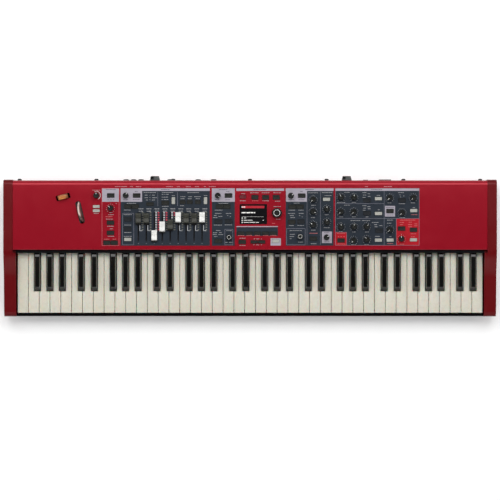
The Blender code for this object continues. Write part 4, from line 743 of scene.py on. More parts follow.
def light_wood(name):
    """Clear-lacquered light wood: long rings and fine pores along the grip, and painted shade that darkens
    the grip towards its +X end.
    """
    colour = (0.62, 0.27, 0.085)
    finish = base_finish(name, colour, 0.35)
    tune(finish, {"Coat Weight": 0.1})
    rings = add_noise(finish, 45.0, 4.0, (1.0, 7.0, 7.0))
    share = ease(finish, rings, 0.38, 0.62, 0.0, 1.0)
    grain = blend_colours(finish, share, (0.25, 0.075, 0.018), (0.55, 0.20, 0.055))
    # Painted shade: the grip turns darker towards its +X end
    painted_end_shade = ease(finish, place_axes(finish)["X"], 4 * MM, 11 * MM, 0.0, 0.8)
    grain = blend_colours(finish, painted_end_shade, grain, (0.10, 0.033, 0.012))
    pores = ease(finish, add_noise(finish, 900.0, 2.0, (1.0, 9.0, 9.0)), 0.62, 0.75, 0.0, 0.6)
    paint_colour(finish, blend_colours(finish, pores, grain, (0.20, 0.075, 0.03)))
    drift_gloss(finish, 0.28, 0.42, 120.0)
    add_relief(finish, rings, 0.00004)
    return finish


def stone_with_painted_light(name):
    """Honed stone: cloudy dark ground with fine darker specks, a painted highlight of pale tone along the
    rim's crest, and painted shade that keeps the front end dark.
    """
    colour = (0.36, 0.24, 0.21)
    finish = base_finish(name, colour, 0.2)
    tune(finish, {"Coat Weight": 0.8})
    cloud = ease(finish, add_noise(finish, 90.0, 5.0), 0.35, 0.7, 0.0, 1.0)
    # The pale tone is a painted highlight; the deep tone is the dark stone
    pale = blend_colours(finish, cloud, (0.46, 0.34, 0.29), (0.70, 0.56, 0.50))
    deep = blend_colours(finish, cloud, (0.05, 0.020, 0.016), (0.11, 0.05, 0.04))
    tree, axes = finish.node_tree, place_axes(finish)
    # Painted highlight: the pale tone only along the rim's crest
    away = add_math(tree, "ABSOLUTE", add_math(tree, "SUBTRACT", axes["X"], 0.8 * MM))
    middle = ease(finish, away, 1.1 * MM, 2.4 * MM, 1.0, 0.0)
    # Painted shade: the front end, where the wheel curves down into its slot, stays dark
    front = ease(finish, axes["Y"], -11 * MM, -6 * MM, 0.0, 1.0)
    ground = blend_colours(finish, add_math(tree, "MULTIPLY", middle, front), deep, pale)
    specks = ease(finish, add_noise(finish, 1400.0, 2.0), 0.60, 0.68, 0.0, 0.7)
    paint_colour(finish, blend_colours(finish, specks, ground, (0.09, 0.055, 0.05)))
    drift_gloss(finish, 0.12, 0.25, 200.0)
    add_relief(finish, specks, 0.00002)
    return finish


def glow(name, colour, strength):
    """A lit lamp or a lit mark on the display."""
    finish = moulded(name, colour, 0.3)
    tune(finish, {"Emission Color": (*colour, 1.0), "Emission Strength": strength})
    return finish


# Keys

def white_edges(index):
    left = index * KEY_PITCH - WHITE_COUNT * KEY_PITCH / 2
    return left, left + KEY_PITCH


def black_after(index):
    """Middle of the black key to the right of a white key, or None."""
    letter = LETTERS[index % len(LETTERS)]
    if letter not in BLACK_OFFSETS or not 0 <= index < WHITE_COUNT - 1:
        return None
    return white_edges(index)[1] + BLACK_OFFSETS[letter]


def section_of(index):
    return [name for name, start in SECTION_STARTS if index >= start][-1]


def white_key_outline(index):
    """Seen from above: a full front and a narrower tail between its black neighbours."""
    left, right = white_edges(index)
    left, right = left + KEY_GAP / 2, right - KEY_GAP / 2
    before, after = black_after(index - 1), black_after(index)
    reach = BLACK_HALF + KEY_GAP
    front, rear = KEY_FRONT - 0.01, KEY_REAR + 0.01
    notch = BLACK_FRONT - KEY_GAP
    outline = [(left, front), (right, front)]
    if after is not None:
        outline += [(right, notch), (after - reach, notch), (after - reach, rear)]
    else:
        outline.append((right, rear))
    if before is not None:
        outline += [(before + reach, rear), (before + reach, notch), (left, notch)]
    else:
        outline.append((left, rear))
    return outline


def white_key_side():
    """Seen from the side: square front with a lip, rounded top edge and a stepped tail."""
    edge = 1.6 * MM
    skin = KEY_TOP - 12 * MM
    tail = KEY_REAR - 43 * MM
    outline = [(KEY_FRONT, KEY_BOTTOM)]
    outline += arc(KEY_FRONT + edge, KEY_TOP - edge, edge, 180, 90, 6)
    outline += [(tail, KEY_TOP), (tail + 12 * MM, KEY_BOTTOM + 11 * MM), (KEY_REAR, KEY_BOTTOM + 11 * MM)]
    outline += [(KEY_REAR, KEY_BOTTOM), (KEY_REAR - 25 * MM, KEY_BOTTOM), (tail - 12 * MM, skin)]
    return outline + [(KEY_FRONT + 4 * MM, skin), (KEY_FRONT + 4 * MM, KEY_BOTTOM)]


def black_cap_side():
    """Seen from the side: steep front, flat top and a tail end that eases down."""
    front = BLACK_FRONT + 0.1 * MM
    rear = front + 81.5 * MM
    foot = BLACK_TOP - 13 * MM
    outline = [(front, foot), (front, foot + 1 * MM)]
    outline += arc(front + 9.3 * MM, BLACK_TOP - 1.1 * MM, 1.1 * MM, 145, 90, 4)
    outline += arc(rear - 7.2 * MM, BLACK_TOP - 2 * MM, 2 * MM, 90, 76, 2)
    return outline + [(rear, BLACK_TOP - 1.8 * MM), (rear, foot)]


def black_body_side():
    front = BLACK_FRONT
    low = BLACK_TOP - 24 * MM
    mid = BLACK_TOP - 12 * MM
    return [
        (front, low), (front, mid), (BLACK_REAR, mid), (BLACK_REAR, mid - 6 * MM),
        (BLACK_REAR - 34 * MM, mid - 6 * MM), (BLACK_REAR - 48 * MM, low),
    ]


def black_key_mesh(middle):
    """One black key with its tapered cap."""
    cap = side_prism(black_cap_side(), -1, 1, "black_key")
    foot = BLACK_TOP - 12 * MM
    for vertex in cap.vertices:
        rise = min(max(vertex.co.z - foot, 0.0) / (12 * MM), 1.0)
        half = (6.75 - 2.15 * rise) * MM
        vertex.co.x = middle + math.copysign(half, vertex.co.x)
    body = side_prism(black_body_side(), middle - BLACK_HALF + 0.1 * MM, middle + BLACK_HALF - 0.1 * MM)
    return cap, body


def add_painted_highlight(finish, colour):
    """A painted highlight: pale tops at the rear of the black keys, from just in front of the panel's lip."""
    tree = finish.node_tree
    before = tree.nodes["Principled BSDF"].inputs["Base Color"].links[0].from_socket
    axes, soft = place_axes(finish), 0.1 * MM
    edge, level = PANEL_FRONT - HIGHLIGHT_AHEAD, BLACK_TOP - 0.6 * MM
    behind = ease(finish, axes["Y"], edge - soft, edge + soft, 0.0, 1.0)
    above = ease(finish, axes["Z"], level - soft, level + soft, 0.0, 1.0)
    highlight_share = add_math(tree, "MULTIPLY", behind, above)
    paint_colour(finish, blend_colours(finish, highlight_share, before, colour))


class STAGE_KEYBOARD_OT_white_keys(bpy.types.Operator):
    """Builds each white key with its notches, rounded edges and hollow underside"""

    bl_idname = "stage_keyboard.white_keys"
    bl_label = "White Keys"

    def execute(self, context):
        settings = context.scene.stage_keyboard
        ivory = key_plastic("ivory_plastic", settings.colours.white_keys, 0.28, 0.02)
        tune(ivory, {"Subsurface Weight": 0.3, "Subsurface Scale": 0.004})
        for index in range(WHITE_COUNT):
            body = f"white_keys_{section_of(index)}"
            plan = prism(white_key_outline(index), KEY_BOTTOM - 0.01, KEY_TOP + 0.01, "white_key")
            left, right = white_edges(index)
            side = side_prism(white_key_side(), left, right)
            mesh = carved(plan, [("INTERSECT", side)], settings.sizes.key_edge, 2)
            add_piece(f"white_key_{index + 1:02d}", mesh, body, ivory, [body])
        return {"FINISHED"}


class STAGE_KEYBOARD_OT_black_keys(bpy.types.Operator):
    """Builds each black key: a body between the white tails and a tapered cap"""

    bl_idname = "stage_keyboard.black_keys"
    bl_label = "Black Keys"

    def execute(self, context):
        settings = context.scene.stage_keyboard
        ebony = key_plastic("ebony_plastic", settings.colours.black_keys, 0.2, 0.2)
        tune(ebony, {"Coat Weight": 0.4})
        # Painted highlight: pale tops at the rear of each black key
        add_painted_highlight(ebony, (0.85, 0.83, 0.78))
        number = 0
        for index in range(WHITE_COUNT):
            middle = black_after(index)
            if middle is None:
                continue
            number += 1
            body = f"black_keys_{section_of(index)}"
            cap, stem = black_key_mesh(middle)
            mesh = carved(cap, [("UNION", stem)], settings.sizes.black_edge, 3)
            add_piece(f"black_key_{number:02d}", mesh, body, ebony, [body])
        return {"FINISHED"}


# Case

def fold_line(inset):
    """The panel's folded line in Y and Z, this far inside its outer face."""
    small, large = 2.0 * MM, PANEL_BEND
    line = [(PANEL_FRONT + inset, PANEL_TOP - PANEL_LIP)]
    line += arc(PANEL_FRONT + small, PANEL_TOP - small, small - inset, 180, 90, 6)
    line += arc(PANEL_REAR - large, PANEL_TOP - large, large - inset, 90, 0, 20)
    return line + [(PANEL_REAR - inset, PANEL_BOTTOM)]


def turned_points(outline, x, y, angle):
    turn = Matrix.Rotation(math.radians(angle), 2)
    return [tuple(turn @ Vector(p) + Vector((x, y))) for p in outline]


def face_openings():
    """Every opening in the panel's face, as outlines in metres."""
    found = []
    for name in POINTERS:
        low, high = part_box(name)
        found.append(arc((low.x + high.x) / 2, (low.y + high.y) / 2, 4 * MM, 0, 345, 23))
    for pads in PADS.values():
        for x, v, size, _ in pads:
            width, length = PAD_SIZES[size]
            where = at_panel(x, v)
            found.append(round_rectangle(*where, (width + 0.6) * MM, (length + 0.6) * MM, 1.1 * MM))
    for index in range(FADER_COUNT):
        x, y = at_panel(FADER_FIRST + FADER_PITCH * index, FADER_STOP + FADER_TRAVEL / 2)
        found.append(round_rectangle(x, y, 3 * MM, (FADER_TRAVEL + CAP_LENGTH) * MM, 0.8 * MM))
    x, y = at_panel(DISPLAY_X, DISPLAY_V)
    found.append(round_rectangle(x, y, (DISPLAY_WIDTH + 0.6) * MM, (DISPLAY_LENGTH + 0.6) * MM, 1.2 * MM))
    slot = round_rectangle(0, 0, 31 * MM, 11.3 * MM, 1.5 * MM)
    found.append(turned_points(slot, *at_panel(*STICK_PLACE), STICK_TURN))
    slot = round_rectangle(0, 0, 12 * MM, 50 * MM, 5.99 * MM, 8)
    found.append(turned_points(slot, *at_panel(*WHEEL_PLACE), WHEEL_TURN))
    return found


def rear_frame(x, z=SOCKET_HEIGHT):
    """Stands a turned piece on the rear wall, pointing out of it."""
    return Matrix.Translation((x * MM, PANEL_REAR, z)) @ Matrix.Rotation(math.radians(-90), 4, "X")


def rear_openings():
    solids = []
    for x, radius in [(x, 4.9) for x in JACKS] + [(x, 7.5) for x in ROUND_SOCKETS]:
        solids.append(rod(radius * MM, -0.02, 0.02, 32, rear_frame(x)))
    squares = ((SQUARE_SOCKET, 12.4, 12.4), (INLET_X, 27.1, 20.1), (SWITCH_X, 15.1, 21.1))
    for x, width, height in squares:
        low = (x * MM - width * MM / 2, PANEL_REAR - 0.02, SOCKET_HEIGHT - height * MM / 2)
        high = (x * MM + width * MM / 2, PANEL_REAR + 0.02, SOCKET_HEIGHT + height * MM / 2)
        solids.append(block(low, high))
    return solids


class STAGE_KEYBOARD_OT_panel(bpy.types.Operator):
    """Builds the folded control panel with its bends, openings and stand brackets"""

    bl_idname = "stage_keyboard.panel"
    bl_label = "Panel"

    def execute(self, context):
        colours = context.scene.stage_keyboard.colours
        red = lacquer("panel_lacquer", colours.panel, 0.22, 0.25, 0.01)
        folded = side_prism(fold_line(0.0) + fold_line(PANEL_SHEET)[::-1], -PANEL_HALF, PANEL_HALF, "panel")
        low, high = PANEL_TOP - 0.004, PANEL_TOP + 0.004
        holes = joined([prism(outline, low, high) for outline in face_openings()])
        mesh = carved(folded, [("DIFFERENCE", holes), ("DIFFERENCE", joined(rear_openings()))])
        add_piece("folded_panel", mesh, "case", red, ["top_panel"])
        seal = moulded("felt_black", (0.005, 0.005, 0.006), 0.95, 4000.0, 0.0002, 0.08, 0.1)
        low = (-PANEL_HALF + 0.0012, PANEL_FRONT - 0.0070, PANEL_TOP - 0.0170)
        high = (PANEL_HALF - 0.0012, PANEL_FRONT + 0.0015, PANEL_TOP - 0.0088)
        add_piece("dust_strip", carved(block(low, high, "dust_strip"), (), 0.0006, 2), "case", seal)
        grey = moulded("bracket_grey", (0.07, 0.073, 0.073), 0.5, 1500.0)
        for number, x in enumerate(STAND_BRACKETS):
            add_piece(f"stand_bracket_{number + 1}", stand_bracket_mesh(x), "case", grey)
        return {"FINISHED"}


def stand_bracket_mesh(x):
    """A tapered ear with a hole for a leg of a music stand."""
    tip = CAD_HIGH.y
    outline = [(x - 11, 0), (x + 11, 0), (x + 8.6, 9.5), (x - 8.6, 9.5)]
    points = [(a * MM, PANEL_REAR - 0.0002 + b / 9.5 * (tip - PANEL_REAR)) for a, b in outline]
    ear = prism(points, BRACKET_LOW, BRACKET_HIGH, "stand_bracket")
    middle = Vector(((x - 5.5) * MM, BRACKET_HOLE_Y))
    hole = Matrix.Translation((*middle, BRACKET_LOW + 3.5 * MM))
    bore = rod(BRACKET_HOLE, 0.0, 0.03, 32, hole)
    return carved(ear, [("DIFFERENCE", bore)], 0.0006, 3)


def cheek_line():
    """Seen from the side: level beside the panel, then a slow curve down to a round nose."""
    front = CAD_LOW.y
    high = PANEL_TOP + 1 * MM
    nose, nose_top, mid_top = 12 * MM, 62.5 * MM, 68 * MM
    outline = [(front + 1.2 * MM, 0.008), (front, 0.0092), (front, nose_top - nose)]
    outline += arc(front + nose, nose_top - nose, nose, 175, 90, 10)
    middle = (PANEL_FRONT - front + nose) / 2 + front
    outline.append((middle, mid_top))
    for step in range(1, 25):
        share = step / 24
        rise = share * share * (3 - 2 * share)
        outline.append((middle + (PANEL_FRONT - middle) * share, mid_top + (high - mid_top) * rise))
    bend = PANEL_BEND + 1 * MM
    outline += arc(CHEEK_REAR - bend, high - bend, bend, 90, 0, 20)
    return outline + [(CHEEK_REAR, 0.0092), (CHEEK_REAR - 1.2 * MM, 0.008)]


def panel_room():
    """The space that the panel takes out of a cheek."""
    line = fold_line(PANEL_SHEET + GAP)
    floor = PANEL_TOP - PANEL_LIP - GAP
    front, above, behind, below = PANEL_FRONT - 7 * MM, 0.2, 0.3, -0.1
    outline = [(front, above), (front, floor), (line[0][0], floor)]
    return outline + line[1:-1] + [(line[-1][0], below), (behind, below), (behind, above)]


class STAGE_KEYBOARD_OT_cheeks(bpy.types.Operator):
    """Builds the two end cheeks with their curved tops and rounded outer edges"""

    bl_idname = "stage_keyboard.cheeks"
    bl_label = "End Cheeks"

    def execute(self, context):
        settings = context.scene.stage_keyboard
        red = lacquer("cheek_lacquer", settings.colours.cheeks, 0.36, 0.1, 0.01)
        tune(red, {"Specular IOR Level": 0.16})
        for node, side in (("left_cheek", -1), ("right_cheek", 1)):
            inner, outer = CHEEK_INNER, CAD_HIGH.x
            low, high = sorted((side * inner, side * outer))
            work = bmesh.new()
            add_prism(work, cheek_line(), low, high, ALONG_X)
            rim = [e for e in work.edges if all(abs(v.co.x) > outer - 1e-5 for v in e.verts)]
            edge = settings.sizes.cheek_edge
            bmesh.ops.bevel(work, geom=rim, offset=edge, segments=6, profile=0.5, affect="EDGES")
            cheek = keep_mesh(work, node)
            low, high = sorted((side * 0.48, side * (inner + 0.006)))
            mesh = carved(cheek, [("DIFFERENCE", side_prism(panel_room(), low, high))])
            add_piece(f"{node}_shell", mesh, "case", red, [node])
        return {"FINISHED"}


class STAGE_KEYBOARD_OT_case_parts(bpy.types.Operator):
    """Finishes the pan, the keybed, the boards and the other pieces inside the case"""

    bl_idname = "stage_keyboard.case_parts"
    bl_label = "Case Parts"

    def execute(self, context):
        black = (0.012, 0.012, 0.013)
        green, metal = (0.015, 0.11, 0.05), (0.02, 0.02, 0.021)
        coat = moulded("pan_powder_coat", (0.003, 0.003, 0.0035), 0.5, 1300.0, 0.0001, 0.15, 0.05)
        dress("bottom_pan", coat)
        dress("keybed_frame", brushed("plated_sheet", (0.62, 0.61, 0.58), 0.4, 0))
        dress("key_contact_board", two_zones(
            "contact_board_mask", "Z", CONTACT_BOARD_TOP, green, black, 0.4, 0.8))
        dress("control_board", two_zones(
            "control_board_mask", "Z", CONTROL_BOARD_TOP, green, metal, 0.4, 0.35))
        dress("bender_bracket", moulded("bracket_black", black, 0.6))
        dress("socket_board", two_zones("socket_board_mask", "Y", SOCKET_BOARD_REAR, green, black, 0.4, 0.35))
        steel = (0.42, 0.42, 0.42)
        dress("power_supply", two_zones("supply_can", "Y", SUPPLY_CAN_REAR, steel, black, 0.35, 0.4))
        dress("power_rocker", moulded("rocker_black", black, 0.3))
        dress("display_module", moulded("display_glass", (0.006, 0.006, 0.007), 0.12, 200.0, 0.000002))
        return {"FINISHED"}


# Printing on the panel

def ground_mesh(grounds, level, name):
    """Thin printed areas, cut out round the controls."""
    areas = []
    for left, right, rear, front in grounds:
        outline = round_rectangle(
            (left + right) / 2 * MM, PANEL_REAR - (rear + front) / 2 * MM,
            (right - left) * MM, (front - rear) * MM, 0.8 * MM,
        )
        areas.append(prism(outline, PANEL_TOP + 0.000005, PANEL_TOP + level, name))
    holes = joined([prism(outline, PANEL_TOP - 0.003, PANEL_TOP + 0.003) for outline in face_openings()])
    return carved(areas[0], [("UNION", area) for area in areas[1:]] + [("DIFFERENCE", holes)])


def add_mark(work, x, v, width, height, level, base=0.0):
    """A printed rectangle on the panel."""
    left, y = at_panel(x - width / 2, v)
    low = (left, y - height * MM / 2, PANEL_TOP + base)
    add_block(work, low, (left + width * MM, y + height * MM / 2, PANEL_TOP + level))


def add_words(work, marks, level):
    """Rows of short dashes of uneven length, in place of words."""
    shares = (3, 2, 4, 2, 3, 5, 2, 3)
    for number, (x, v, width) in enumerate(marks):
        count = max(1, min(6, round(width / 4.2)))
        parts = [shares[(number + i) % len(shares)] for i in range(count)]
        gap = 0.7
        unit = (width - gap * (count - 1)) / sum(parts)
        left = x - width / 2
        for part in parts:
            add_mark(work, left + part * unit / 2, v, part * unit, MARK_HEIGHT, level)
            left += part * unit + gap


def add_frame(work, left, right, rear, front, level):
    line = 0.55
    for v in (rear, front):
        add_mark(work, (left + right) / 2, v, right - left, line, level)
    for x in (left, right):
        add_mark(work, x, (rear + front) / 2, line, front - rear, level)


def knob_place(name):
    low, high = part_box(name)
    return (low.x + high.x) / 2, (low.y + high.y) / 2, low.z


def add_scale(work, name, level):
    """Eleven marks round a knob, from one end of its turn to the other."""
    x, y, _ = knob_place(name)
    for step in range(11):
        angle = math.radians(-135 + 27 * step)
        place = Matrix.Translation((x, y, 0)) @ Matrix.Rotation(-angle, 4, "Z")
        length = 1.5 if step in (0, 5, 10) else 1.0
        outline = [(-0.3, 8.3), (0.3, 8.3), (0.3, 8.3 + length), (-0.3, 8.3 + length)]
        outline = [(a * MM, b * MM) for a, b in outline]
        add_prism(work, outline, PANEL_TOP, PANEL_TOP + level, place)


def add_swell(work, name, level):
    """A printed arc that grows thicker clockwise, round the master knob."""
    x, y, _ = knob_place(name)
    outer, inner = [], []
    for step in range(25):
        share = step / 24
        angle = math.radians(115 - 175 * share)
        reach = (9.0 + 0.9 * share) * MM
        outer.append((x + reach * math.cos(angle), y + reach * math.sin(angle)))
        inner.append((x + 8.3 * MM * math.cos(angle), y + 8.3 * MM * math.sin(angle)))
    add_prism(work, outer + inner[::-1], PANEL_TOP, PANEL_TOP + level)


class STAGE_KEYBOARD_OT_print(bpy.types.Operator):
    """Prints the dark sections, pale headers, frames, knob scales and plain marks"""

    bl_idname = "stage_keyboard.print"
    bl_label = "Panel Print"

    def execute(self, context):
        settings = context.scene.stage_keyboard
        colours, ink = settings.colours, settings.sizes.ink
        slate = moulded("slate_ink", colours.sections, 0.35, 1800.0, 0.00001, 0.06, 0.15)
        pale = moulded("pale_ink", colours.headers, 0.5, 1800.0, 0.00001, 0.05)
        red = moulded("red_ink", (0.36, 0.006, 0.014), 0.4, 1800.0, 0.00001, 0.05, 0.15)
        light = moulded("light_ink", (0.30, 0.30, 0.31), 0.5)
        white = moulded("white_ink", (0.50, 0.50, 0.49), 0.5)
        rear = moulded("rear_ink", (0.50, 0.24, 0.26), 0.5)
        dark = moulded("dark_ink", (0.03, 0.03, 0.045), 0.5)
        warm = moulded("warm_ink", (0.50, 0.13, 0.13), 0.5)
        line = moulded("line_ink", (0.20, 0.20, 0.25), 0.5)
        pink = moulded("pink_ink", (0.52, 0.16, 0.18), 0.5)
        for name, grounds, height, finish, slot in (
            ("slate_grounds", SLATE_GROUNDS, ink, slate, "screen"),
            ("red_grounds", RED_GROUNDS, ink, red, "top_panel"),
            ("pale_grounds", PALE_GROUNDS, 1.5 * ink, pale, "screen"),
        ):
            add_piece(name, ground_mesh(grounds, height, name), "case", finish)
        level = 2.2 * ink
        work = bmesh.new()
        add_frame(work, *FRAMES[0], level)
        add_piece("red_section_frame", keep_mesh(work, "red_section_frame"), "case", pink)
        work = bmesh.new()
        for frame_edges in FRAMES[1:]:
            add_frame(work, *frame_edges, level)
        for x, v, end_x, end_v in LINES:
            add_mark(work, (x + end_x) / 2, (v + end_v) / 2, max(end_x - x, 0.5), max(end_v - v, 0.5), level)
        add_piece("print_lines", keep_mesh(work, "print_lines"), "case", line)
        groups = (("light_marks", LIGHT_MARKS, light), ("dark_marks", DARK_MARKS, dark),
                  ("warm_marks", WARM_MARKS, warm), ("rear_marks", REAR_MARKS, rear))
        for name, marks, finish in groups:
            work = bmesh.new()
            add_words(work, marks, level)
            add_piece(name, keep_mesh(work, name), "case", finish)
        work = bmesh.new()
        for name in POINTERS:
            if name not in BARE_KNOBS:
                add_scale(work, name, level)
        add_swell(work, "master_level_knob", level)
        add_piece("knob_scales", keep_mesh(work, "knob_scales"), "case", white)
        return {"FINISHED"}


# Controls

def grooved_ring(radius, up, groove, grooves):
    steps = grooves * 4
    points = []
    for i in range(steps):
        dent = groove if i % 4 == 0 else groove * 0.55 if i % 4 in (1, 3) else 0.0
        angle = math.tau * i / steps
        points.append(((radius - dent) * math.cos(angle), (radius - dent) * math.sin(angle), up))
    return points


def knob_mesh(radius, height, grooves, pointer, name):
    """A knob with grip grooves, a crisp crown, a bore and its white mark."""
    r, h = radius, height
    bore = 3.3 * MM
    shape = (
        (bore, 8.3 * MM, 0.0), (bore, 0.0, 0.0), (r - 0.15 * MM, 0.0, 0.0), (r, 0.2 * MM, 0.0),
        (r, 1.6 * MM, 0.0), (r - 0.15 * MM, 1.9 * MM, 0.25 * MM), (r - 0.35 * MM, h - 1.3 * MM, 0.4 * MM),
        (r - 0.55 * MM, h - 0.7 * MM, 0.2 * MM), (r - 0.85 * MM, h - 0.3 * MM, 0.0),
        (r - 1.3 * MM, h - 0.05 * MM, 0.0), (r - 1.6 * MM, h, 0.0), (r * 0.62, h - 0.2 * MM, 0.0),
        (r * 0.25, h - 0.3 * MM, 0.0),
    )
    work = bmesh.new()
    add_rings(work, [grooved_ring(a, up, dent, grooves) for a, up, dent in shape])
    if pointer:
        width, reach = 0.45 * MM, r - 0.1 * MM
        side = [(r * 0.4, h - 0.5 * MM), (r * 0.4, h - 0.1 * MM), (r - 1.5 * MM, h + 0.0 * MM),
                (r - 0.75 * MM, h - 0.35 * MM), (reach, h - 1.3 * MM), (reach + 0.05 * MM, 2.2 * MM),
                (reach - 0.9 * MM, 2.2 * MM), (reach - 0.9 * MM, h - 1.6 * MM)]
        add_prism(work, side, -width, width, ALONG_X)
    else:
        for step in range(8):
            start = 45 * step + 4
            dash = arc(0, 0, r * 0.66, start, start + 37, 5) + arc(0, 0, r * 0.57, start + 37, start, 5)
            add_prism(work, dash, h - 0.6 * MM, h - 0.02 * MM)
    marked = 10 if pointer else 8 * 14
    mesh = keep_mesh(work, name)
    for face in mesh.polygons[-marked:]:
        face.material_index = 1
    return mesh


class STAGE_KEYBOARD_OT_knobs(bpy.types.Operator):
    """Builds the knobs and dials with their grooves and white marks"""

    bl_idname = "stage_keyboard.knobs"
    bl_label = "Knobs"

    def execute(self, context):
        grooves = context.scene.stage_keyboard.sizes.knob_grooves
        black = moulded("knob_plastic", (0.008, 0.009, 0.008), 0.4, 2600.0, 0.00003, 0.08, 0.15)
        white = moulded("knob_mark", (0.78, 0.78, 0.76), 0.4)
        for name, angle in POINTERS.items():
            low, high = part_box(name)
            radius, height = (high.x - low.x) / 2, high.z - low.z
            mesh = knob_mesh(radius, height, grooves, angle is not None, name)
            piece = bpy.data.objects.new(f"{name}_cap", mesh)
            bpy.context.scene.collection.objects.link(piece)
            piece.location = knob_place(name)
            piece.rotation_euler = (0.0, 0.0, -math.radians(angle or 0.0))
            mesh.materials.append(black)
            mesh.materials.append(white)
            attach(piece, name)
            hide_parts(name)
        return {"FINISHED"}


def fader_side(low, height):
    """Seen from the side: a low skirt, sloping ends and a hollow for the finger."""
    half = CAP_LENGTH / 2 * MM
    outline = [(-half, low), (-half, low + 4.4 * MM), (-half + 1.6 * MM, low + height - 0.4 * MM)]
    outline += [(-half + 2.4 * MM, low + height)]
    for step in range(9):
        share = step / 8
        y = -half + 4.5 * MM + (CAP_LENGTH - 8.0) * MM * share
        up = low + height - 1.1 * MM * math.sin(math.pi * share)
        if step == 4:
            outline += [(y - 0.7 * MM, up), (y - 0.4 * MM, up - 0.9 * MM), (y + 0.4 * MM, up - 0.9 * MM)]
            y += 0.7 * MM
        outline.append((y, up))
    outline += [(half - 1.4 * MM, low + height - 0.3 * MM), (half, low + height - 2.2 * MM), (half, low)]
    return outline


class STAGE_KEYBOARD_OT_faders(bpy.types.Operator):
    """Builds the nine fader caps with their blades, and the lamps and scales beside them"""

    bl_idname = "stage_keyboard.faders"
    bl_label = "Faders"

    def execute(self, context):
        black = moulded("fader_black_plastic", (0.030, 0.031, 0.024), 0.42, 2600.0, 0.00003)
        dark = moulded("fader_skirt_plastic", (0.006, 0.006, 0.006), 0.5, 2600.0, 0.00003, 0.08, 0.15)
        white = moulded("fader_white_plastic", (0.72, 0.72, 0.70), 0.35, 2600.0, 0.00002, 0.02)
        for index in range(FADER_COUNT):
            node = f"fader_{index + 1}"
            low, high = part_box(node)
            middle = Vector(((low.x + high.x) / 2, high.y - CAP_LENGTH / 2 * MM, 0.0))
            base = PANEL_TOP + GAP
            finish = white if index in WHITE_FADERS else black
            side = [(y + middle.y, z) for y, z in fader_side(base, high.z - base)]
            half = (high.x - low.x) / 2
            mesh = side_prism(side, middle.x - half, middle.x + half, "fader_cap")
            for vertex in mesh.vertices:
                if vertex.co.z > base + 0.003:
                    vertex.co.x = middle.x + (vertex.co.x - middle.x) * 0.96
            mesh = carved(mesh, (), 0.0006, 3, 25.0)
            add_piece(f"{node}_cap", mesh, node, finish, [node])
            skirt = block((low.x, low.y, base), (high.x, low.y + 0.0046, base + 0.0034), "fader_skirt")
            add_piece(f"{node}_skirt", carved(skirt, (), 0.0008, 3), node, dark)
            x, y = middle.xy
            blade = block((x - 0.0008, y - 0.003, low.z), (x + 0.0008, y + 0.003, base))
            add_piece(f"{node}_blade", carved(blade, (), 0.0002, 2), node, black)
        self.add_lamps(context.scene.stage_keyboard.sizes.ink)
        return {"FINISHED"}

    def add_lamps(self, ink):
        lit, unlit, scales, faint = bmesh.new(), bmesh.new(), bmesh.new(), bmesh.new()
        for index in range(FADER_COUNT):
            stem = FADER_FIRST + FADER_PITCH * index
            for lamp in range(LAMP_COUNT):
                v = LAMP_FIRST + LAMP_PITCH * lamp
                work = lit if lamp < LIT_LAMPS.get(index, 0) else unlit
                add_mark(work, stem + LAMP_SHIFT, v, 3.6, 2.6, 4 * ink)
            x = stem + SCALE_SHIFT + 0.9
            if index in LIT_LAMPS:
                for step in range(LAMP_COUNT):
                    add_mark(scales, x, LAMP_FIRST + LAMP_PITCH * step, 3.0, 3.3, 2.5 * ink)
            else:
                add_mark(scales, x - 0.9, 103.4, 1.3, 11.6, 2.5 * ink)
                add_mark(scales, x + 1.7, 109.2, 6.4, 1.1, 2.5 * ink)
            add_words(scales, ((stem + 5.6, 62.0, 10.4), (stem + 5.6, 67.0, 8.6)), 2.5 * ink)
            add_mark(faint, stem, 137.1, 2.4, 0.9, 2.5 * ink)
        for name, work, finish in (
            ("lit_lamps", lit, glow("lamp_lit", (0.42, 0.04, 0.06), 0.12)),
            ("unlit_lamps", unlit, moulded("lamp_unlit", (0.12, 0.12, 0.10), 0.3)),
            ("fader_scales", scales, moulded("scale_ink", (0.42, 0.42, 0.43), 0.5)),
            ("fader_dots", faint, moulded("faint_ink", (0.16, 0.16, 0.18), 0.5)),
        ):
            add_piece(name, keep_mesh(work, name), "case", finish)


def add_pad(work, x, v, width, length):
    """A push button with round corners, a soft rim and a slightly hollow top."""
    rings = []
    steps = ((0.0, MAT_LOW + GAP), (0.0, CAP_TOP - 0.6 * MM), (0.12, CAP_TOP - 0.25 * MM),
             (0.35, CAP_TOP - 0.06 * MM), (0.65, CAP_TOP), (1.3, CAP_TOP - 0.08 * MM),
             (2.2, CAP_TOP - 0.22 * MM))
    px, py = at_panel(x, v)
    for inset, up in steps:
        corner = max(1.1 - inset, 0.3) * MM
        outline = round_rectangle(px, py, (width - 2 * inset) * MM, (length - 2 * inset) * MM, corner)
        rings.append([(a, b, up) for a, b in outline])
    add_rings(work, rings)


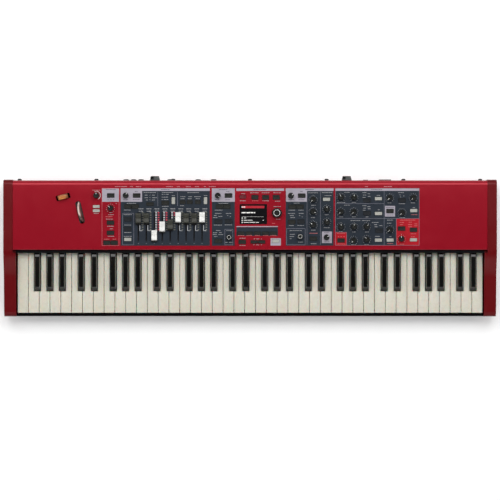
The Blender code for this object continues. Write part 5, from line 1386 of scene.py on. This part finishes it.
class STAGE_KEYBOARD_OT_buttons(bpy.types.Operator):
    """Builds the moulded mats with their dark, slate, silver and red pads"""

    bl_idname = "stage_keyboard.buttons"
    bl_label = "Buttons"

    def execute(self, context):
        finishes = {
            "dark": moulded("pad_dark", (0.015, 0.0155, 0.014), 0.5, 2500.0, 0.00003, 0.08, 0.15),
            "slate": moulded("pad_slate", (0.011, 0.013, 0.016), 0.5, 2500.0, 0.00003, 0.08, 0.15),
            "silver": moulded("pad_silver", (0.34, 0.34, 0.31), 0.36, 2600.0, 0.00002, 0.04, 0.4),
            "red": moulded("pad_red", (0.10, 0.006, 0.012), 0.45),
        }
        for mat, pads in PADS.items():
            self.add_mat(mat, finishes["dark"])
            for number, (x, v, size, kind) in enumerate(pads):
                work = bmesh.new()
                add_pad(work, x, v, *PAD_SIZES[size])
                name = f"{mat[:-8]}_pad_{number + 1:02d}"
                add_piece(name, keep_mesh(work, name, 50.0), mat, finishes[kind])
        return {"FINISHED"}

    def add_mat(self, mat, finish):
        low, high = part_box(mat)
        sheet = block((low.x, low.y, low.z), (high.x, high.y, MAT_TOP), f"{mat}_web")
        cuts = []
        for name in POINTERS:
            x, y, _ = knob_place(name)
            if low.x < x < high.x and low.y < y < high.y:
                place = Matrix.Translation((x, y, low.z))
                cuts.append(rod(4 * MM, -0.01, 0.01, 24, place))
        if mat == "organ_buttons":
            left, rear = at_panel(FADER_FIRST - 8, FADER_STOP - 14.25)
            right, front = at_panel(FADER_FIRST + FADER_COUNT * FADER_PITCH, 200)
            cuts.append(block((left, front, low.z - 0.01), (right, rear, high.z)))
        if mat == "piano_program_buttons":
            x, y = at_panel(DISPLAY_X, DISPLAY_V)
            size = Vector(((DISPLAY_WIDTH / 2 + 3) * MM, (DISPLAY_LENGTH / 2 + 3) * MM, 0))
            cuts.append(block(Vector((x, y, low.z - 0.01)) - size, Vector((x, y, high.z)) + size))
        mesh = carved(sheet, [("DIFFERENCE", joined(cuts))])
        add_piece(f"{mat}_web", mesh, mat, finish, [mat])


class STAGE_KEYBOARD_OT_display(bpy.types.Operator):
    """Lights the display: a red bar and plain lines on black glass"""

    bl_idname = "stage_keyboard.display"
    bl_label = "Display"

    def execute(self, context):
        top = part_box("display_module")[1].z
        base, level = top - PANEL_TOP + 0.00001, top - PANEL_TOP + 0.00004
        groups = (
            ("display_bar", glow("screen_red", (0.36, 0.012, 0.024), 0.12), 0.0, DISPLAY_BAR),
            ("display_title", glow("screen_white", (0.75, 0.75, 0.72), 0.3), 0.00004, DISPLAY_TITLE),
            ("display_rows", glow("screen_grey", (0.55, 0.55, 0.53), 0.25), 0.0, DISPLAY_ROWS),
        )
        for name, finish, rise, marks in groups:
            work = bmesh.new()
            for x, v, width, height in marks:
                add_mark(work, x, v, width, height, level + rise, base)
            add_piece(name, keep_mesh(work, name), "case", finish)
        return {"FINISHED"}


# Pitch stick and modulation wheel

def stick_mesh():
    """A rounded wooden grip on a narrower shank, with its hinge hole."""
    rise, half, shank = 34 * MM, 11.2 * MM, 6 * MM
    outline = [(-shank, -shank), (shank, -shank), (shank, 12 * MM), (half, 17 * MM)]
    outline += arc(half - 5 * MM, rise - 5 * MM, 5 * MM, 0, 80, 8)
    outline += arc(-half + 5 * MM, rise - 5 * MM, 5 * MM, 100, 180, 8)
    outline += [(-half, 17 * MM), (-shank, 12 * MM)]
    upright = Matrix.Rotation(math.radians(90), 4, "X")
    grip = prism(outline, -4.75 * MM, 4.75 * MM, "stick_grip", upright)
    bore = rod(2.3 * MM, -0.01, 0.01, 24, upright)
    return carved(grip, [("DIFFERENCE", bore)], 0.0011, 4)


def wheel_frame():
    """The wheel's middle: X along its axle, Z towards its top."""
    x, y = (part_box("mod_wheel")[0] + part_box("mod_wheel")[1]).xy / 2
    turn = Matrix.Rotation(math.radians(WHEEL_TURN), 4, "Z")
    lean = Matrix.Rotation(math.radians(-WHEEL_LEAN), 4, "Y")
    z = (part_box("mod_wheel")[0].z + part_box("mod_wheel")[1].z) / 2
    return Matrix.Translation((x, y, z)) @ turn @ lean


def wheel_mesh():
    """A thin wheel with a rounded rim, an axle hole and a finger dimple near its front."""
    profile = [(2.3 * MM, WHEEL_HALF), (WHEEL_RADIUS - WHEEL_HALF, WHEEL_HALF)]
    for angle in range(75, -76, -15):
        turn = math.radians(angle)
        profile.append((WHEEL_RADIUS - WHEEL_HALF + WHEEL_HALF * math.cos(turn), WHEEL_HALF * math.sin(turn)))
    profile += [(WHEEL_RADIUS - WHEEL_HALF, -WHEEL_HALF), (2.3 * MM, -WHEEL_HALF)]
    along = Matrix.Rotation(math.radians(90), 4, "Y")
    work = bmesh.new()
    rows = []
    for radius, up in profile:
        turn = [math.tau * i / 72 for i in range(72)]
        ring = [(radius * math.cos(a), radius * math.sin(a), up) for a in turn]
        rows.append([work.verts.new(along @ Vector(point)) for point in ring])
    for lower, upper in zip(rows, rows[1:] + rows[:1]):
        for i in range(72):
            j = (i + 1) % 72
            work.faces.new((lower[i], lower[j], upper[j], upper[i]))
    disc = keep_mesh(work, "wheel_disc")
    angle = math.radians(26)
    middle = Vector((0.0, -math.sin(angle), math.cos(angle))) * (WHEEL_RADIUS + 5.5 * MM)
    work = bmesh.new()
    bmesh.ops.create_uvsphere(work, u_segments=40, v_segments=24, radius=7.5 * MM)
    bmesh.ops.translate(work, vec=middle, verts=work.verts)
    return carved(disc, [("DIFFERENCE", keep_mesh(work, "dimple"))])


class STAGE_KEYBOARD_OT_stick_and_wheel(bpy.types.Operator):
    """Builds the wooden pitch stick and the stone modulation wheel"""

    bl_idname = "stage_keyboard.stick_and_wheel"
    bl_label = "Stick and Wheel"

    def execute(self, context):
        pieces = (
            ("stick_grip", stick_mesh(), "pitch_stick", light_wood("light_wood"), "stick"),
            ("wheel_disc", wheel_mesh(), "mod_wheel", stone_with_painted_light("stone_with_painted_light"), "wheel"),
        )
        x, y = at_panel(*STICK_PLACE)
        turn = Matrix.Rotation(math.radians(STICK_TURN), 4, "Z")
        stick = Matrix.Translation((x, y, STICK_PIVOT_HEIGHT)) @ turn
        for (name, mesh, node, finish, slot), place in zip(pieces, (stick, wheel_frame())):
            add_piece(name, mesh, node, finish, [node], place)
        return {"FINISHED"}


# Rear hardware

def screw_mesh():
    """A pan-head screw with a cross recess."""
    profile = [(4.5 * MM, 0.0), (4.5 * MM, 1.6 * MM), (4.0 * MM, 2.9 * MM), (2.7 * MM, 3.6 * MM)]
    head = turned(profile, 32, "screw_head")
    long, thin, floor, above = 2.2 * MM, 0.45 * MM, 2.2 * MM, 5 * MM
    cross = [block((-a, -b, floor), (a, b, above), "slot") for a, b in ((long, thin), (thin, long))]
    return carved(head, [("DIFFERENCE", slot) for slot in cross], 0.00012, 2)


def nut_mesh():
    """A six-sided nut on a washer round a jack."""
    hexagon = arc(0, 0, 6.4 * MM, 0, 300, 5)
    nut = prism(hexagon, 0.35 * MM, 2.4 * MM, "jack_nut")
    washer = rod(7.2 * MM, 0.02 * MM, 0.5 * MM, 36)
    bore = rod(4.66 * MM, -0.01, 0.01, 36)
    return carved(nut, [("UNION", washer), ("DIFFERENCE", bore)], 0.00015, 2)


def sleeve_mesh(outer, inner, mouth, deep, name):
    """A thin lining with its floor, for the bore of a socket."""
    tube = rod(outer, -deep, mouth, 36, None, name)
    bore = rod(inner, -deep + 0.3 * MM, mouth + 0.001, 36)
    return carved(tube, [("DIFFERENCE", bore)])


def place_piece(name, mesh, matrix, finish):
    mesh.transform(matrix)
    return add_piece(name, mesh, "case", finish)


class STAGE_KEYBOARD_OT_rear(bpy.types.Operator):
    """Adds the screws, jack nuts and linings, and the contacts of the data sockets and the mains inlet"""

    bl_idname = "stage_keyboard.rear"
    bl_label = "Rear Hardware"

    def execute(self, context):
        black = moulded("hardware_black", (0.014, 0.014, 0.014), 0.3, 1500.0)
        nickel = brushed("contact_nickel", (0.62, 0.60, 0.55), 0.25, 1)
        brass = brushed("contact_brass", (0.68, 0.48, 0.20), 0.3, 1)
        for number, x in enumerate(REAR_SCREWS):
            place = rear_frame(x, SCREW_HEIGHT)
            place_piece(f"rear_screw_{number + 1}", screw_mesh(), place, black)
        for number, x in enumerate(JACKS):
            place_piece(f"jack_nut_{number + 1}", nut_mesh(), rear_frame(x), black)
            lining = sleeve_mesh(3.06 * MM, 2.9 * MM, 3.2 * MM, 24.6 * MM, "jack_lining")
            place_piece(f"jack_lining_{number + 1}", lining, rear_frame(x), nickel)
        for number, x in enumerate(ROUND_SOCKETS):
            name, place = f"round_socket_ring_{number + 1}", rear_frame(x)
            place_piece(name, self.socket_ring(), place, black)
            place_piece(f"round_socket_pins_{number + 1}", self.socket_pins(), place, brass)
        y = PANEL_REAR
        x, z = SQUARE_SOCKET * MM, SOCKET_HEIGHT
        low, high = (x - 0.0028, y - 0.0099, z - 0.0016), (x + 0.0028, y - 0.0015, z + 0.0016)
        tongue = carved(block(low, high, "square_socket_tongue"), (), 0.0003, 2)
        place_piece("square_socket_tongue", tongue, Matrix.Identity(4), nickel)
        work = bmesh.new()
        for side in (-1, 0, 1):
            middle = INLET_X * MM + side * 0.007
            low = (middle - 0.00104, y - 0.0133, z - 0.00204)
            add_block(work, low, (middle + 0.00104, y - 0.00345, z + 0.00204))
        pins = carved(keep_mesh(work, "inlet_pins"), (), 0.0003, 2)
        place_piece("inlet_pins", pins, Matrix.Identity(4), nickel)
        return {"FINISHED"}

    def socket_ring(self):
        profile = [(8.6 * MM, 0.02 * MM), (8.6 * MM, 0.7 * MM), (7.9 * MM, 1.15 * MM)]
        ring = turned(profile, 40, "round_socket_ring")
        bore = rod(6.1 * MM, -0.01, 0.01, 40)
        return carved(ring, [("DIFFERENCE", bore)], 0.00015, 2)

    def socket_pins(self):
        """Five sleeves on an arc and the round core that holds them."""
        work = bmesh.new()
        for angle in (-90, -45, 0, 45, 90):
            turn = math.radians(angle - 90)
            place = Matrix.Translation((3.4 * MM * math.cos(turn), 3.4 * MM * math.sin(turn), -7.9 * MM))
            add_turned(work, [(0.75 * MM, 0.0), (0.75 * MM, 0.7 * MM), (0.5 * MM, 0.9 * MM)], 16, place)
        return keep_mesh(work, "round_socket_pins")


# Stage

def seen_share(tree):
    """One for what the camera sees, straight or by way of metal, gloss or glass, else zero."""
    path = tree.nodes.new("ShaderNodeLightPath")
    total = path.outputs["Is Camera Ray"]
    for name in ("Is Glossy Ray", "Is Transmission Ray"):
        total = add_math(tree, "MAXIMUM", total, path.outputs[name])
    return total


class STAGE_KEYBOARD_OT_stage(bpy.types.Operator):
    """Sets the floor, the soft lights, the world and the camera above the keyboard"""

    bl_idname = "stage_keyboard.stage"
    bl_label = "Stage"

    def execute(self, context):
        self.add_floor()
        self.add_lights()
        self.add_world(context.scene)
        self.add_camera(context.scene)
        context.scene.view_settings.view_transform = "Standard"
        return {"FINISHED"}

    def add_floor(self):
        finish = base_finish("floor_paper", (0.90, 0.90, 0.90), 0.9)
        tree = finish.node_tree
        drift = drift_colour(finish, (0.90, 0.90, 0.90), 0.004, 3.0)
        seen = seen_share(tree)
        paint_colour(finish, blend_colours(finish, seen, (0.45, 0.45, 0.45), drift))
        tune(finish, {"Emission Color": (1.0, 1.0, 1.0, 1.0)})
        feed(finish, "Emission Strength", add_math(tree, "MULTIPLY", seen, 0.15))
        mesh = prism([(-6, -6), (6, -6), (6, 6), (-6, 6)], -0.02, -0.0002, "floor")
        mesh.materials.append(finish)
        floor = bpy.data.objects.new("floor", mesh)
        bpy.context.scene.collection.objects.link(floor)

    def add_lights(self):
        lights = (
            ("rear_softbox", (0.0, 1.4, 2.6), (3.6, 1.8), 76.0),
            ("front_softbox", (0.0, -2.3, 2.7), (3.4, 1.4), 22.0),
            ("right_softbox", (2.8, 0.2, 2.2), (1.4, 2.0), 19.4),
            ("left_softbox", (-2.8, 0.2, 2.2), (1.4, 2.0), 19.4),
        )
        for name, place, size, power in lights:
            lamp = bpy.data.lights.new(name, "AREA")
            lamp.shape = "RECTANGLE"
            lamp.size, lamp.size_y = size
            lamp.energy = power
            held = bpy.data.objects.new(name, lamp)
            held.location = place
            held.rotation_euler = (-Vector(place)).to_track_quat("-Z", "Y").to_euler()
            bpy.context.scene.collection.objects.link(held)

    def add_world(self, scene):
        world = bpy.data.worlds.new("studio")
        world.use_nodes = True
        tree = world.node_tree
        back = tree.nodes["Background"]
        back.inputs["Color"].default_value = (1.0, 1.0, 1.0, 1.0)
        place = tree.nodes.new("ShaderNodeTexCoord")
        split = tree.nodes.new("ShaderNodeSeparateXYZ")
        tree.links.new(place.outputs["Generated"], split.inputs["Vector"])
        path = tree.nodes.new("ShaderNodeLightPath")
        horizon = ease(world, path.outputs["Is Glossy Ray"], 0.0, 1.0, 0.36, 0.55)
        sky = ease(world, split.outputs["Z"], 0.70, 0.95, horizon, 0.05)
        mix = tree.nodes.new("ShaderNodeMix")
        tree.links.new(path.outputs["Is Camera Ray"], mix.inputs["Factor"])
        tree.links.new(sky, mix.inputs["A"])
        mix.inputs["B"].default_value = 1.0
        tree.links.new(mix.outputs["Result"], back.inputs["Strength"])
        scene.world = world

    def add_camera(self, scene):
        height = scene.stage_keyboard.sizes.camera_height
        lens = bpy.data.cameras.new("camera")
        lens.sensor_width = 36.0
        lens.lens = lens.sensor_width * (height - PANEL_TOP) / (PHOTO_SCALE * PHOTO_WIDTH * MM)
        lens.clip_end = 50.0
        camera = bpy.data.objects.new("camera", lens)
        camera.location = (*CAMERA_PLACE, height)
        scene.collection.objects.link(camera)
        scene.camera = camera


OPERATORS = (
    STAGE_KEYBOARD_OT_stage,
    STAGE_KEYBOARD_OT_panel,
    STAGE_KEYBOARD_OT_cheeks,
    STAGE_KEYBOARD_OT_case_parts,
    STAGE_KEYBOARD_OT_white_keys,
    STAGE_KEYBOARD_OT_black_keys,
    STAGE_KEYBOARD_OT_print,
    STAGE_KEYBOARD_OT_knobs,
    STAGE_KEYBOARD_OT_faders,
    STAGE_KEYBOARD_OT_buttons,
    STAGE_KEYBOARD_OT_display,
    STAGE_KEYBOARD_OT_stick_and_wheel,
    STAGE_KEYBOARD_OT_rear,
)


class STAGE_KEYBOARD_PT_panel(bpy.types.Panel):
    """Sizes, colours and the pieces of the stage keyboard"""

    bl_idname = "STAGE_KEYBOARD_PT_panel"
    bl_label = "Stage Keyboard"
    bl_space_type = "VIEW_3D"
    bl_region_type = "UI"
    bl_category = "Keyboard"

    def draw(self, context):
        settings = context.scene.stage_keyboard
        for group in (settings.sizes, settings.colours):
            for name in group.bl_rna.properties.keys():
                if name not in ("rna_type", "name"):
                    self.layout.prop(group, name)
        for operator in OPERATORS:
            self.layout.operator(operator.bl_idname)


CLASSES = (KeyboardSizes, KeyboardColours, KeyboardSettings, *OPERATORS, STAGE_KEYBOARD_PT_panel)


def register():
    for each in CLASSES:
        bpy.utils.register_class(each)
    bpy.types.Scene.stage_keyboard = PointerProperty(type=KeyboardSettings)


def unregister():
    del bpy.types.Scene.stage_keyboard
    for each in reversed(CLASSES):
        bpy.utils.unregister_class(each)


def main():
    register()
    for operator in OPERATORS:
        group, name = operator.bl_idname.split(".")
        getattr(getattr(bpy.ops, group), name)()


if __name__ == "__main__":
    main()
